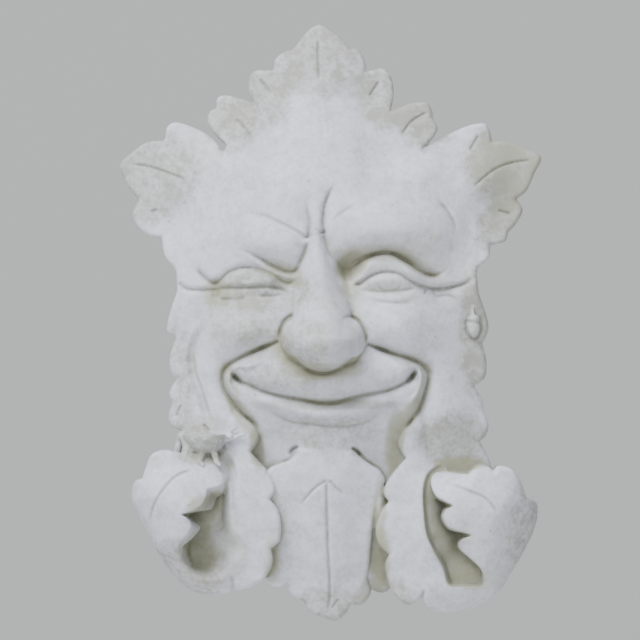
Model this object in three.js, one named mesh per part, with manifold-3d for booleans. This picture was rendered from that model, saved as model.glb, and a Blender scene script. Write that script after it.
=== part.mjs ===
import * as THREE from 'three';
import { mergeVertices } from 'three/addons/utils/BufferGeometryUtils.js';
import Module from 'manifold-3d';

const wasm = await Module();
wasm.setup();

// Green man mask: a garden wall plaque cast in one piece of pale stone.
// The back is flat at Y = 0, the face looks along -Y, and +Z is up.

// Driving sizes in millimetres
const maskHeight = 340; // crown's tip to beard's tip
const maskWidth = 240; // across the crown's side leaves
const reliefDepth = 82; // back to the tip of the nose
const leafRounding = 3; // how far the leaf edges are rounded down
const curlFloor = 18; // least stone left behind the hollows of the curls
const curlRoof = 35; // underside of the curled leaf tips, above the back
const hookPocketWide = 30; // recess in the back that takes a nail or a hook
const hookPocketTall = 20;
const hookPocketDeep = 14;
const hookPocketUp = 80; // roof of the recess, above the middle of the back
const netTolerance = 0.95; // how far the faceted relief may leave the true one

// The carving is drawn on a sheet of squares, x to the right and y down from its top left
// corner. The mask covers sheetHigh by sheetWide squares of it. Heights on the sheet are
// millimetres above the back on a mask whose nose stands at noseHeight and whose squares
// are squareSide across.
const sheetHigh = 598;
const sheetWide = 423;
const sheetMiddle = { x: 322, y: 323 };
const sheetEdge = 640;
const noseHeight = 82;
const squareSide = 0.568;

const across = maskWidth / sheetWide;
const upward = maskHeight / sheetHigh;
const rise = reliefDepth / noseHeight;

const clamp = THREE.MathUtils.clamp;
const smooth = (t) => THREE.MathUtils.smoothstep(t, 0, 1);

function softMax(a, b, blend) {
  const t = clamp(0.5 + (0.5 * (a - b)) / blend, 0, 1);
  return b * (1 - t) + a * t + blend * t * (1 - t);
}

// Curves on the sheet

function curveThrough(points, stride) {
  const curve = new THREE.CatmullRomCurve3(
    points.map(([x, y]) => new THREE.Vector3(x, y, 0)),
    false,
    'centripetal'
  );
  const steps = Math.max(2, Math.round(curve.getLength() / stride));
  return curve.getPoints(Math.max(steps, points.length)).map((p) => [p.x, p.y]);
}

// A leaf margin: each lobe is a row that starts at a notch and runs over its crest, and the
// curve stops at the next lobe's notch
function lobedPath(lobes, end, stride = 8.5) {
  return lobes.flatMap((lobe, i) => {
    const next = i + 1 < lobes.length ? lobes[i + 1][0] : end;
    return curveThrough([...lobe, next], stride).slice(0, -1);
  });
}

const leafMargin = (lobes) => lobedPath(lobes, lobes[0][0]);

function nearest(x, y, path, closed) {
  let best = Infinity;
  let side = 1;
  let share = 0;
  const count = closed ? path.length : path.length - 1;
  for (let i = 0; i < count; i++) {
    const [ax, ay] = path[i];
    const [bx, by] = path[(i + 1) % path.length];
    const dx = bx - ax;
    const dy = by - ay;
    const t = clamp(((x - ax) * dx + (y - ay) * dy) / (dx * dx + dy * dy), 0, 1);
    const ex = x - ax - t * dx;
    const ey = y - ay - t * dy;
    const distance = ex * ex + ey * ey;
    if (distance < best) {
      best = distance;
      side = dx * (y - ay) - dy * (x - ax) > 0 ? 1 : -1;
      share = (i + t) / count;
    }
  }
  return { distance: Math.sqrt(best), side, share };
}

function isInside(x, y, loop) {
  let inside = false;
  for (let i = 0; i < loop.length; i++) {
    const [ax, ay] = loop[i];
    const [bx, by] = loop[(i + 1) % loop.length];
    if (ay > y !== by > y && x < ((bx - ax) * (y - ay)) / (by - ay) + ax) inside = !inside;
  }
  return inside;
}

function insideDistance(x, y, loop) {
  const { distance } = nearest(x, y, loop, true);
  return isInside(x, y, loop) ? distance : -distance;
}

// Forms of the carving: each is a function of a place on the sheet that gives a height

// Rows of places with their heights, blended over spread squares
function ground(places, spread) {
  return (x, y) => {
    let sum = 0;
    let weight = 1e-12;
    for (const [px, py, height] of places) {
      const far = (x - px) ** 2 + (y - py) ** 2;
      const w = Math.exp(-far / (2 * spread * spread)) + 1e-9 / (1 + far);
      sum += w * height;
      weight += w;
    }
    return sum / weight;
  };
}

// A soft swelling or hollow over an ellipse, turned by an angle in degrees
function mound(cx, cy, halfWide, halfHigh, height, turn = 0) {
  const angle = THREE.MathUtils.degToRad(turn);
  const c = Math.cos(angle);
  const s = Math.sin(angle);
  return (x, y) => {
    const u = ((x - cx) * c + (y - cy) * s) / halfWide;
    const v = ((y - cy) * c - (x - cx) * s) / halfHigh;
    return height * Math.max(0, 1 - u * u - v * v) ** 2;
  };
}

// A cut or a roll along a curve, its two flanks each with a width of their own. The first
// flank is the upper one where the curve runs to the right. It fades out at both ends.
function stroke(points, height, upper, lower, fade, profile) {
  const path = curveThrough(points, 5);
  const reach = Math.max(upper, lower);
  const box = new THREE.Box2();
  path.forEach(([x, y]) => box.expandByPoint(new THREE.Vector2(x, y)));
  box.expandByScalar(reach);
  const place = new THREE.Vector2();
  return (x, y) => {
    if (!box.containsPoint(place.set(x, y))) return 0;
    const { distance, side, share } = nearest(x, y, path, false);
    const u = distance / (side > 0 ? lower : upper);
    if (u >= 1) return 0;
    const start = fade[0] ? smooth(share / fade[0]) : 1;
    const end = fade[1] ? smooth((1 - share) / fade[1]) : 1;
    return height * profile(u) * start * end;
  };
}

const cut = (points, depth, upper, lower = upper, fade = [0.15, 0.15]) =>
  stroke(points, -depth, upper, lower, fade, (u) => (1 - u) ** 2);
const roll = (points, height, upper, lower = upper, fade = [0.2, 0.2]) =>
  stroke(points, height, upper, lower, fade, (u) => (1 - u * u) ** 2);
const total = (forms, x, y) => forms.reduce((sum, form) => sum + form(x, y), 0);

// Outline of the whole mask, clockwise from the crown's tip

const crownRight = [
  [[319, 24], [327, 28], [343, 40]],
  [[350, 48], [358, 49], [364, 58]],
  [[367, 71], [382, 68], [390, 74], [394, 92]],
  [[391, 111], [412, 103], [428, 103], [433, 112]],
  [[433, 117], [438, 128], [434, 137]],
  [[423, 149], [437, 141], [457, 130], [476, 123.5], [487, 124]],
  [[493, 141], [508, 141], [530, 149], [542, 157], [535, 174], [527, 191]],
  [[517, 199], [523.5, 209], [518, 222]],
  [[509, 232], [506, 241], [498, 243.5]],
  [[491, 245], [489, 258], [479, 267]],
];
const cheekRight = [
  [[477, 272], [479, 292], [486, 313], [489, 328]],
  [[483, 344], [487, 362], [485, 378]],
  [[474, 386], [483, 400]],
  [[484, 411], [489, 425], [486, 436]],
  [[480, 441]],
];
const beardFoot = [
  [[367, 579], [371, 593], [362, 605]],
  [[351, 605], [345, 615], [334, 622], [320, 617], [309, 613]],
  [[304, 602], [294, 597], [288, 589]],
  [[291, 581], [284, 586], [274, 587], [266, 580]],
];
const curlLeft = [
  [[264, 580], [248, 588], [236, 590]],
  [[233, 585], [230, 592], [210, 595.5], [191, 591], [170, 572], [152, 543], [138, 515], [131, 497], [135, 481]],
  [[142, 479], [146, 467], [152, 454], [166, 450]],
];
const cheekLeft = [
  [[180, 451], [182, 441]],
  [[181, 430], [174, 428], [168, 419]],
  [[171.5, 403], [169, 392]],
  [[176, 380], [170, 370], [170, 354]],
  [[175, 339], [167, 331], [169, 315], [177, 290]],
];
const crownLeft = [
  [[177, 282], [175, 270], [165, 257]],
  [[161, 237], [150, 236], [134, 222], [132, 213]],
  [[138, 200], [127, 185], [119, 165], [130, 153], [146, 142]],
  [[164, 140], [167, 126], [174, 122], [195, 128], [212, 138]],
  [[223, 151], [226, 146], [214, 133], [207, 120], [210, 111]],
  [[216, 108], [217, 98], [224, 95], [240, 98.5], [252, 103]],
  [[260, 116], [256, 107], [249, 92], [249, 77], [254, 71]],
  [[273, 70], [275, 59], [283, 52]],
  [[293, 49], [302, 37], [312, 27]],
];

// Behind the beard and the curls the slab that carries the face stops short of their edges
const slabFoot = [
  [[489, 458]],
  [[497, 480]],
  [[490, 540]],
  [[462, 580]],
  [[404, 580]],
  [[392, 585], [386, 593], [374, 591], [367, 580]],
  [[360, 574]],
  [[331, 604]],
  [[292, 572]],
  [[250, 570]],
  [[200, 572]],
  [[166, 540]],
  [[150, 480]],
];
const faceMargin = leafMargin([...crownRight, ...cheekRight, ...slabFoot, ...cheekLeft, ...crownLeft]);

// Face and crown

const faceGround = ground(
  [
    [319, 26, 16], [319, 70, 25], [319, 120, 34], [319, 165, 43], [322, 205, 50],
    [268, 78, 19], [225, 108, 18], [260, 135, 30], [172, 132, 17], [124, 165, 14],
    [190, 178, 30], [138, 215, 16], [172, 245, 25], [240, 185, 41], [375, 78, 19],
    [425, 112, 18], [395, 140, 30], [478, 132, 17], [540, 160, 14], [465, 183, 30],
    [515, 215, 16], [478, 245, 24], [402, 190, 42], [275, 232, 48], [375, 232, 49],
    [222, 250, 42], [430, 245, 44], [322, 250, 50], [250, 285, 44], [388, 285, 45],
    [192, 290, 33], [462, 288, 33], [322, 290, 50], [260, 325, 50], [388, 325, 50],
    [212, 335, 41], [438, 330, 42], [172, 335, 21], [487, 330, 21], [236, 375, 48],
    [418, 375, 48], [196, 385, 35], [456, 385, 34], [172, 390, 19], [484, 390, 20],
    [322, 380, 52], [280, 380, 50], [365, 380, 50], [322, 425, 45], [281, 425, 41],
    [362, 425, 41], [322, 470, 38], [265, 458, 22], [393, 458, 22], [222, 412, 45],
    [232, 432, 40], [432, 412, 45], [422, 440, 41], [198, 415, 33], [175, 425, 20],
    [455, 430, 34], [484, 435, 20], [200, 447, 32], [465, 464, 22], [432, 460, 34],
    [228, 455, 34], [322, 540, 16], [190, 520, 10], [470, 530, 10], [322, 620, 9],
    [215, 590, 10], [450, 600, 10], [382, 545, 22], [382, 585, 17], [205, 460, 41],
    [271, 556, 19], [325, 448, 52], [284, 458, 30], [366, 458, 30],
  ],
  24
);

const brows = [
  mound(272, 243, 50, 30, 6, 12),
  mound(388, 228, 82, 38, 8, 4),
  mound(316, 218, 9, 30, 2),
  cut([[332, 188], [324.5, 208], [323, 222], [330, 252], [335, 262]], 4, 7, 5),
  roll([[331, 248], [339, 263], [347, 280], [354, 296]], -4, 12, 6, [0.3, 0.4]),
  cut([[305, 200], [309.5, 224], [308, 238]], 3, 5, 6, [0.4, 0]),
  cut([[307, 238], [314, 234], [324, 233]], 3, 5, 5, [0, 0]),
  cut([[438, 201], [453, 220], [459, 233]], 1.6, 4, 8, [0.35, 0.35]),
  cut([[344, 272], [360, 261], [384, 253.5], [403, 260], [428, 275.5], [450, 268]], 9, 13, 5),
  cut([[240, 212], [285, 225], [308, 240]], 2.6, 4, 10, [0.6, 0.05]),
  cut([[234, 249], [260, 259], [288, 272.5], [301, 262], [309, 240]], 6, 10, 5, [0.3, 0.1]),
];

const eyes = [
  mound(350, 267, 22, 17, -9, -35),
  mound(390, 276, 45, 16, 4),
  roll([[352, 280], [368, 265], [385, 262], [413, 272], [440, 283.5], [458, 280]], 2.2, 8, 7, [0.2, 0.5]),
  cut([[352, 286], [367, 278], [386, 272], [409, 280], [436, 288.5], [477, 275]], 3.5, 3.5, 8),
  roll([[362, 295], [390, 297.5], [418, 293]], 1.5, 5, 6),
  mound(256, 281, 42, 17, 5),
  cut([[196, 267], [212, 283], [229, 272.5], [260, 270], [287, 283], [297, 277]], 3.2, 8, 4.5),
  cut([[178, 282], [193, 290], [215, 290], [245, 288], [270, 287], [293, 296]], 3, 4),
  mound(280, 286, 13, 12, -3),
];

const smile = [
  mound(248, 325, 54, 40, 8, -10),
  mound(400, 324, 54, 40, 8, 10),
  cut([[280, 340], [255, 351], [230, 364], [222.5, 380], [231, 400], [260, 433]], 10, 13, 16),
  cut([[366, 343], [395, 354.5], [422, 364.5], [427.5, 383], [418, 411], [403, 431]], 10, 16, 13),
  mound(322, 374, 105, 34, 4),
  mound(238, 378, 11, 6, -4, 40),
  mound(412, 376, 11, 6, -4, -55),
  cut([[236, 380], [262, 390.5], [300, 399], [322, 403], [350, 398.5], [388, 390], [414, 375]], 7, 5, 8),
  roll([[250, 393], [292, 410], [325, 414], [355, 411], [398, 393]], 4, 11, 10),
  cut([[264, 406], [290, 421], [332, 426], [368, 421], [386, 405]], 1.8, 5, 9, [0.3, 0.3]),
  roll([[213, 431], [200, 388], [193, 354], [208, 323]], -4.2, 8, 3.5, [0.2, 0.25]),
];

const veinDepth = 1.4;
const veinFlank = 4;
const veins = [
  [[318, 38], [319, 82]],
  [[259, 78], [272, 93]],
  [[235, 118], [251, 137]],
  [[130, 163.5], [168, 173], [188, 181]],
  [[380, 80], [369, 97]],
  [[428, 112], [415, 119], [402, 136]],
  [[479, 135], [470, 151]],
  [[533, 160], [496, 169], [472, 188]],
].map((points) => cut(points, veinDepth, veinFlank));

// The nose: sections across a bridge that widens and climbs, swells into the ball at its end
// and turns under, between two wings
const noseRoot = { x: 316, y: 234, half: 9, crest: 53, flank: 17 };
const noseBall = { x: 323.5, y: 339, half: 34, below: 33, crest: noseHeight, flank: 32, swell: 9 };
const leftWing = { x: 300.5, y: 338, halfWide: 21, halfHigh: 22, depth: 26, top: 71 };
const rightWing = { x: 346.5, y: 339, halfWide: 20.5, halfHigh: 22, depth: 26, top: 71 };
const noseBlend = 9;
const { lerp } = THREE.MathUtils;

// Fall of a ball's surface where q runs from 1 at its middle to 0 at its rim and below
const domed = (q) => 1 - (q > 0 ? Math.sqrt(q) : q);

function wing(form, x, y) {
  const q = 1 - ((x - form.x) / form.halfWide) ** 2 - ((y - form.y) / form.halfHigh) ** 2;
  return form.top - form.depth * domed(q);
}

function nose(x, y) {
  const t = clamp((y - noseRoot.y) / (noseBall.y - noseRoot.y), 0, 1);
  const swelling = smooth((t - 0.55) / 0.45);
  const half = lerp(noseRoot.half, noseBall.half, t ** 0.8);
  const middle = lerp(noseRoot.x, noseBall.x, t);
  const crest = lerp(noseRoot.crest, noseBall.crest - noseBall.swell, t ** 0.9) + noseBall.swell * swelling;
  const u = (x - middle) / half;
  const v = Math.max(y - noseBall.y, 0) / noseBall.below;
  const bridge = noseRoot.flank * Math.abs(u) ** 2.3 + 1.2 * Math.max(noseRoot.y - y, 0);
  const fall = lerp(bridge, noseBall.flank * domed(1 - u * u - v * v), swelling);
  const wings = Math.max(wing(leftWing, x, y), wing(rightWing, x, y));
  return softMax(crest - fall, wings, noseBlend);
}

// The nose's foot is crisp at the root and the wings and runs softly into the face between
const noseFoot = (y) => 1.5 + 9 * smooth((y - 252) / 14) * smooth((318 - y) / 10);

function roundedEdge(inside, reach, drop) {
  const u = clamp(1 - inside / reach, 0, 1.4);
  return drop * u * u;
}

const edgeReach = leafRounding / across;

function faceHeight(x, y, inside) {
  const form = faceGround(x, y) + total(brows, x, y) + total(eyes, x, y) + total(smile, x, y);
  const carved = softMax(form, nose(x, y), noseFoot(y)) + total(veins, x, y);
  return carved - roundedEdge(inside, edgeReach, leafRounding / rise);
}

// Beard leaf

const beardMargin = leafMargin([
  [[297, 449], [325, 445]],
  [[353, 450], [361, 457], [380, 470], [385, 479]],
  [[384, 484], [383, 500], [372, 535], [370, 560]],
  ...beardFoot,
  [[272, 560], [264, 520], [262, 480]],
  [[270, 467], [280, 463], [290, 460]],
]);
const beardGround = ground(
  [
    [325, 450, 43], [300, 455, 41], [350, 455, 41], [325, 480, 42], [285, 480, 37],
    [370, 480, 36], [325, 520, 37], [280, 520, 32], [370, 520, 31], [327, 560, 31],
    [280, 560, 26], [372, 560, 25], [330, 595, 24], [275, 588, 18], [385, 590, 18],
    [334, 620, 15], [300, 600, 19], [360, 605, 19],
  ],
  20
);
const beardVeins = [
  cut([[327, 476], [328, 545], [328, 616]], 1.8, 4.5, 4.5, [0.1, 0.1]),
  cut([[327, 480], [308, 495], [298, 508]], 1.3, 4, 4, [0.05, 0.4]),
  cut([[329, 480], [338, 489], [347, 496]], 1.3, 4, 4, [0.05, 0.4]),
];

function beardHeight(x, y, inside) {
  const edge = roundedEdge(inside, edgeReach, leafRounding / rise);
  return beardGround(x, y) + total(beardVeins, x, y) - edge;
}

// Side leaves, which roll up into a curl at the foot. The hollow's mouth, between the curl's
// cut tip and the rim, is what shows from the front, and its bowl runs in under the tip. The
// curl rolls back from the turned line. Heights of the floor are above curlFloor.

const leafSpread = 14;
const floorSpread = 9;
const leftLeaf = {
  margin: leafMargin([
    [[228, 398], [243, 416], [254, 426], [259, 438]],
    [[251, 452], [260, 462], [268, 472], [275, 489]],
    [[270, 499], [278, 510], [281, 525], [279, 541]],
    [[271, 548], [272.5, 562]],
    ...curlLeft,
    [[178, 453], [192, 453], [208, 453], [222, 453]],
    [[224, 450], [221, 436], [214, 405]],
  ]),
  height: ground(
    [
      [228, 400, 32], [221, 435, 36], [229, 450, 36], [244, 427, 42], [250, 440, 41], [243, 470, 41],
      [260, 500, 40], [248, 520, 42], [258, 550, 39], [235, 580, 36], [205, 585, 36],
      [178, 570, 38], [155, 530, 42], [140, 495, 42], [160, 490, 50], [185, 488, 54],
      [210, 478, 53], [190, 505, 54], [175, 530, 47], [152, 462, 40], [190, 463, 46],
    ],
    leafSpread
  ),
  turned: [
    [152, 442], [140, 468], [131, 497], [138, 515], [152, 543], [170, 572], [191, 591],
    [212, 596], [235, 593], [258, 586],
  ],
  outward: (x, y) => smooth((262 - x) / 60) * smooth((y - 455) / 40),
  carving: [
    cut([[149, 524], [163, 490], [195, 468]], veinDepth, veinFlank),
    roll([[219, 453], [231, 468], [234, 505]], -5, 7, 11, [0.3, 0.5]),
  ],
  tip: [
    [[231, 472], [228, 477], [222, 484]],
    [[207, 488], [206, 496], [201, 505], [190, 511]],
    [[179, 513], [190, 523], [185, 533], [178, 543], [176, 556]],
  ],
  rim: [
    [180, 568], [188, 578], [199, 583], [215, 585], [238, 576], [249, 558], [245, 540], [235, 528],
    [232, 512], [233, 490],
  ],
  under: [[216, 474], [199, 486], [184, 502], [175, 518], [175, 533], [176, 546], [176, 556]],
  floor: ground(
    [
      [226, 480, 17], [222, 497, 13], [216, 512, 9], [206, 525, 4], [198, 540, 0], [198, 555, 0],
      [203, 565, 2], [213, 554, 4], [222, 538, 10], [234, 542, 17], [242, 560, 21], [224, 572, 16],
      [205, 580, 15], [186, 573, 13], [180, 510, 2], [200, 492, 6], [174, 540, 4], [240, 525, 20],
    ],
    floorSpread
  ),
  slope: (y) => 11 + 5 * smooth((y - 525) / 15),
  steep: (y) => 1.6 + 5 * smooth((y - 509) / 4) * smooth((525 - y) / 6),
};

const rightLeaf = {
  margin: leafMargin([
    [[422, 400], [411, 423], [401, 434], [398, 445]],
    [[406, 458], [395, 470], [386, 484], [384, 494]],
    [[389, 501], [380, 514], [376, 530], [379, 544]],
    [[389, 554], [385, 565], [389.5, 585], [397, 597], [410, 605]],
    [[422, 598], [431, 609.5], [455, 613], [480, 605], [499, 594], [512, 573], [525, 551], [537, 523], [537, 503]],
    [[527, 498], [525, 492], [519, 478], [510, 468], [497, 466]],
    [[494, 471], [487, 466], [478, 466]],
    [[468, 474], [457, 473], [448, 471]],
    [[446, 467], [449, 446], [443, 420]],
  ]),
  height: ground(
    [
      [424, 402, 32], [446, 430, 32], [447, 452, 24], [444, 463, 24], [411, 430, 42], [404, 445, 41],
      [415, 470, 41], [400, 500, 40], [412, 520, 42], [398, 550, 39], [405, 585, 36], [450, 600, 36],
      [495, 580, 36], [515, 540, 40], [528, 510, 40], [490, 500, 51], [462, 490, 54],
      [445, 485, 54], [450, 515, 54], [478, 530, 50], [478, 556, 44], [485, 472, 44],
      [505, 475, 42], [422, 462, 40],
    ],
    leafSpread
  ),
  turned: [
    [508, 460], [526, 480], [538, 503], [537, 523], [525, 551], [512, 573], [499, 594],
    [480, 606], [455, 613], [431, 611], [405, 607],
  ],
  outward: (x, y) => smooth((x - 400) / 60) * smooth((y - 465) / 40),
  carving: [
    cut([[449, 482], [486, 498], [499, 514]], veinDepth, veinFlank),
  ],
  tip: [
    [[452, 469], [445, 471], [437, 472], [431.5, 477], [431, 484], [436, 495], [446, 501]],
    [[454, 505], [446, 509], [443, 517], [448, 526], [462, 531]],
    [[473, 534.5], [461, 539], [459, 546], [470, 557], [480, 567]],
  ],
  rim: [
    [485, 578], [484, 586], [466, 587.5], [449, 586], [442, 568], [433, 551], [426, 535], [422.5, 512], [422, 488],
    [427, 474], [434, 466], [446, 462],
  ],
  under: [[443, 477], [450, 484], [466, 498], [478, 516], [485, 545], [486, 566]],
  floor: ground(
    [
      [430, 485, 20], [431, 505, 19], [435, 525, 17], [443, 545, 13], [454, 565, 8], [466, 578, 8],
      [480, 576, 8], [462, 545, 4], [450, 520, 5], [445, 500, 7], [470, 520, 2], [478, 550, 4],
      [432, 473, 17], [444, 467, 11],
    ],
    floorSpread
  ),
  slope: (y) => 8 + 5 * smooth((y - 490) / 25) - 7 * smooth((y - 550) / 20),
  steep: () => 7,
};

const curlReach = 34;
const curlDrop = 27;

function leafHeight(leaf) {
  const turned = curveThrough(leaf.turned, 8.5);
  return (x, y, inside) => {
    const { distance } = nearest(x, y, turned, false);
    const u = clamp(1 - distance / curlReach, 0, 1);
    const back = curlDrop * leaf.outward(x, y) * (1 - Math.sqrt(1 - 0.96 * u * u));
    const edge = roundedEdge(inside, edgeReach, leafRounding / rise);
    return leaf.height(x, y) + total(leaf.carving, x, y) - back - edge;
  };
}

// Solids

// A closed loop of the sheet as a straight block between two heights in millimetres
function outlineBlock(loop, from, to) {
  const shape = new THREE.Shape(loop.map(([x, y]) => onMask(x, y)));
  const block = new THREE.ExtrudeGeometry(shape, { depth: to - from, bevelEnabled: false });
  block.translate(0, 0, from);
  return toSolid(block);
}

function onMask(x, y) {
  return new THREE.Vector2((x - sheetMiddle.x) * across, (sheetMiddle.y - y) * upward);
}

// Turns a shape drawn in X and Y with its height along Z to stand with its face along -Y
function toSolid(geometry) {
  geometry.rotateX(Math.PI / 2);
  return solidOf(geometry);
}

function solidOf(geometry) {
  geometry.deleteAttribute('normal');
  geometry.deleteAttribute('uv');
  const merged = mergeVertices(geometry, 1e-4);
  const mesh = new wasm.Mesh({
    numProp: 3,
    vertProperties: new Float32Array(merged.attributes.position.array),
    triVerts: new Uint32Array(merged.index.array),
  });
  return new wasm.Manifold(mesh);
}

// How closely the net follows the relief: all of it over the face, half over the leaves
const faceMiddle = { x: 322, y: 320, halfWide: 130, halfHigh: 125 };
const leafFineness = 0.5;

function fineness(x, y) {
  const u = (x - faceMiddle.x) / faceMiddle.halfWide;
  const v = (y - faceMiddle.y) / faceMiddle.halfHigh;
  return u * u + v * v < 1 ? 1 : leafFineness;
}

// A relief over a square of the sheet, closed by a flat side at flatAt millimetres. Corners
// are set only where the surface inside the margin bends away from the triangles.
function reliefBlock({ left, top, size, cells, margin, heightAt, flatAt }) {
  const line = cells + 1;
  const middle = (line * line - 1) / 2;
  const pitch = size / cells;
  const z = new Float32Array(line * line);
  const weights = new Float32Array(line * line);
  for (let j = 0; j < line; j++) {
    for (let i = 0; i < line; i++) {
      const x = left + i * pitch;
      const y = top + j * pitch;
      const inside = insideDistance(x, y, margin);
      z[j * line + i] = heightAt(x, y, inside) * rise;
      weights[j * line + i] = inside > -2 ? fineness(x, y) : 0;
    }
  }
  const triangles = fitNet(line, z, weights);

  const net = new THREE.BufferGeometry();
  const spots = [];
  const addSpot = (corner, height) => {
    const place = onMask(left + (corner % line) * pitch, top + Math.floor(corner / line) * pitch);
    spots.push(place.x, place.y, height);
  };
  const facingUp = flatAt < z[middle];
  const addFace = (...spotsInTurn) => {
    const inTurn = facingUp ? spotsInTurn.reverse() : spotsInTurn;
    inTurn.forEach(([corner, height]) => addSpot(corner, height));
  };
  const raised = (corner) => [corner, z[corner]];
  const flat = (corner) => [corner, flatAt];
  for (const { corners, beyond } of triangles) {
    addFace(...corners.map(raised));
    corners.forEach((a, i) => {
      if (beyond[i]) return;
      const b = corners[(i + 1) % 3];
      addFace(raised(b), raised(a), flat(a));
      addFace(raised(b), flat(a), flat(b));
      addFace(flat(b), flat(a), flat(middle));
    });
  }
  net.setAttribute('position', new THREE.Float32BufferAttribute(spots, 3));
  return toSolid(net);
}

// Triangles over a square net of heights, split at the worst fitting corner of each and kept
// well shaped by turning the edge between two of them. Each triangle holds its three corners
// and what lies beyond the edge that starts at each corner.
function fitNet(line, z, weights) {
  const column = (k) => k % line;
  const row = (k) => Math.floor(k / line);
  const area = (a, b, c) =>
    (column(b) - column(a)) * (row(c) - row(a)) - (row(b) - row(a)) * (column(c) - column(a));

  const inCircle = (a, b, c, d) => {
    const lift = [a, b, c].map((k) => {
      const dx = column(k) - column(d);
      const dy = row(k) - row(d);
      return [dx, dy, dx * dx + dy * dy];
    });
    const [p, q, r] = lift;
    return (
      p[0] * (q[1] * r[2] - q[2] * r[1]) -
      p[1] * (q[0] * r[2] - q[2] * r[0]) +
      p[2] * (q[0] * r[1] - q[1] * r[0])
    );
  };

  const measure = (triangle) => {
    const [a, b, c] = triangle.corners;
    const whole = area(a, b, c);
    const columns = [a, b, c].map(column);
    const rows = [a, b, c].map(row);
    triangle.worst = 0;
    for (let j = Math.min(...rows); j <= Math.max(...rows); j++) {
      for (let i = Math.min(...columns); i <= Math.max(...columns); i++) {
        const k = j * line + i;
        if (!weights[k]) continue;
        const u = area(k, b, c);
        const v = area(a, k, c);
        const w = whole - u - v;
        if (u <= 0 || v <= 0 || w <= 0) continue;
        const miss = weights[k] * Math.abs(z[k] - (u * z[a] + v * z[b] + w * z[c]) / whole);
        if (miss > triangle.worst) {
          triangle.worst = miss;
          triangle.worstCorner = k;
        }
      }
    }
  };

  const relink = (neighbour, before, after) => {
    if (neighbour) neighbour.beyond[neighbour.beyond.indexOf(before)] = after;
  };

  // Turns the first edge of the triangle when the corner beyond it is too near
  const turnEdge = (triangle, changed) => {
    changed.add(triangle);
    const other = triangle.beyond[0];
    if (!other) return;
    const [a, b, p] = triangle.corners;
    const at = other.beyond.indexOf(triangle);
    const d = other.corners[(at + 2) % 3];
    if (area(a, d, p) <= 0 || area(d, b, p) <= 0 || inCircle(a, b, p, d) <= 0) return;
    const besideA = other.beyond[(at + 1) % 3];
    const besideB = other.beyond[(at + 2) % 3];
    const [, afterB, afterP] = triangle.beyond;
    triangle.corners = [a, d, p];
    triangle.beyond = [besideA, other, afterP];
    other.corners = [d, b, p];
    other.beyond = [besideB, afterB, triangle];
    relink(besideA, other, triangle);
    relink(afterB, triangle, other);
    turnEdge(triangle, changed);
    turnEdge(other, changed);
  };

  const last = line - 1;
  const [nw, ne, sw, se] = [0, last, last * line, last * line + last];
  const first = { corners: [nw, ne, se], beyond: [null, null, null] };
  const second = { corners: [nw, se, sw], beyond: [first, null, null] };
  first.beyond[2] = second;
  const triangles = [first, second];
  triangles.forEach(measure);

  for (;;) {
    const worst = triangles.reduce((most, triangle) => Math.max(most, triangle.worst), 0);
    if (worst <= netTolerance) return triangles;
    const limit = Math.max(netTolerance, worst / 2);
    const changed = new Set();
    for (const triangle of [...triangles]) {
      if (triangle.worst <= limit || changed.has(triangle)) continue;
      const [a, b, c] = triangle.corners;
      const [afterA, afterB, afterC] = triangle.beyond;
      const p = triangle.worstCorner;
      const facingA = { corners: [b, c, p], beyond: [afterB, null, triangle] };
      const facingB = { corners: [c, a, p], beyond: [afterC, triangle, facingA] };
      facingA.beyond[1] = facingB;
      triangle.corners = [a, b, p];
      triangle.beyond = [afterA, facingA, facingB];
      relink(afterB, triangle, facingA);
      relink(afterC, triangle, facingB);
      triangles.push(facingA, facingB);
      [triangle, facingA, facingB].forEach((one) => turnEdge(one, changed));
    }
    changed.forEach(measure);
  }
}

const tall = reliefDepth + 20;

function leafSolid(margin, window, heightAt) {
  const relief = reliefBlock({ ...window, margin, heightAt, flatAt: 0 });
  return outlineBlock(margin, 0, tall).intersect(relief);
}

const wallReach = 25; // how far in from the tip's edge the wall runs down

// A side leaf with its hollow cut out. From the front the tip's cut edge slopes down as a
// thick wall, and below it the bowl opens under the tip up to curlRoof.
function curledLeaf(leaf, window) {
  const surface = leafHeight(leaf);
  const start = leaf.tip[0][0];
  const mouth = leafMargin([...leaf.tip, leaf.rim]);
  const bowl = leafMargin([leaf.rim, [start, ...leaf.under]]);
  const tip = lobedPath(leaf.tip, leaf.rim[0]);
  const rimHeight = (x, y) => surface(x, y, insideDistance(x, y, leaf.margin));
  const floorHeight = (x, y, inside) => {
    const rim = rimHeight(x, y);
    const floor = Math.min(rim, curlFloor / rise + leaf.floor(x, y));
    return lerp(rim, floor, smooth(inside / leaf.slope(y)));
  };
  const wallHeight = (x, y) => {
    const { distance } = nearest(x, y, tip, false);
    return distance < wallReach ? rimHeight(x, y) - leaf.steep(y) * distance : 0;
  };
  const flatAt = tall + 10;
  const overFloor = reliefBlock({ ...window, margin: bowl, heightAt: floorHeight, flatAt });
  const overWall = reliefBlock({ ...window, margin: mouth, heightAt: wallHeight, flatAt });
  return leafSolid(leaf.margin, window, surface)
    .subtract(outlineBlock(mouth, 0, tall).intersect(overWall).intersect(overFloor))
    .subtract(outlineBlock(bowl, 0, curlRoof).intersect(overFloor));
}

// The small creature that sits on the left curl, and the acorn on the right cheek leaf. They
// are shaped in squares, with their heights in squares too, and then take the mask's scale.

const onSheet = ([x, y, height]) =>
  new THREE.Vector3(x - sheetMiddle.x, -height / squareSide, sheetMiddle.y - y);

function placed(geometry, place) {
  geometry.translate(...onSheet(place).toArray());
  geometry.scale(across, squareSide * rise, upward);
  return solidOf(geometry);
}

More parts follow.
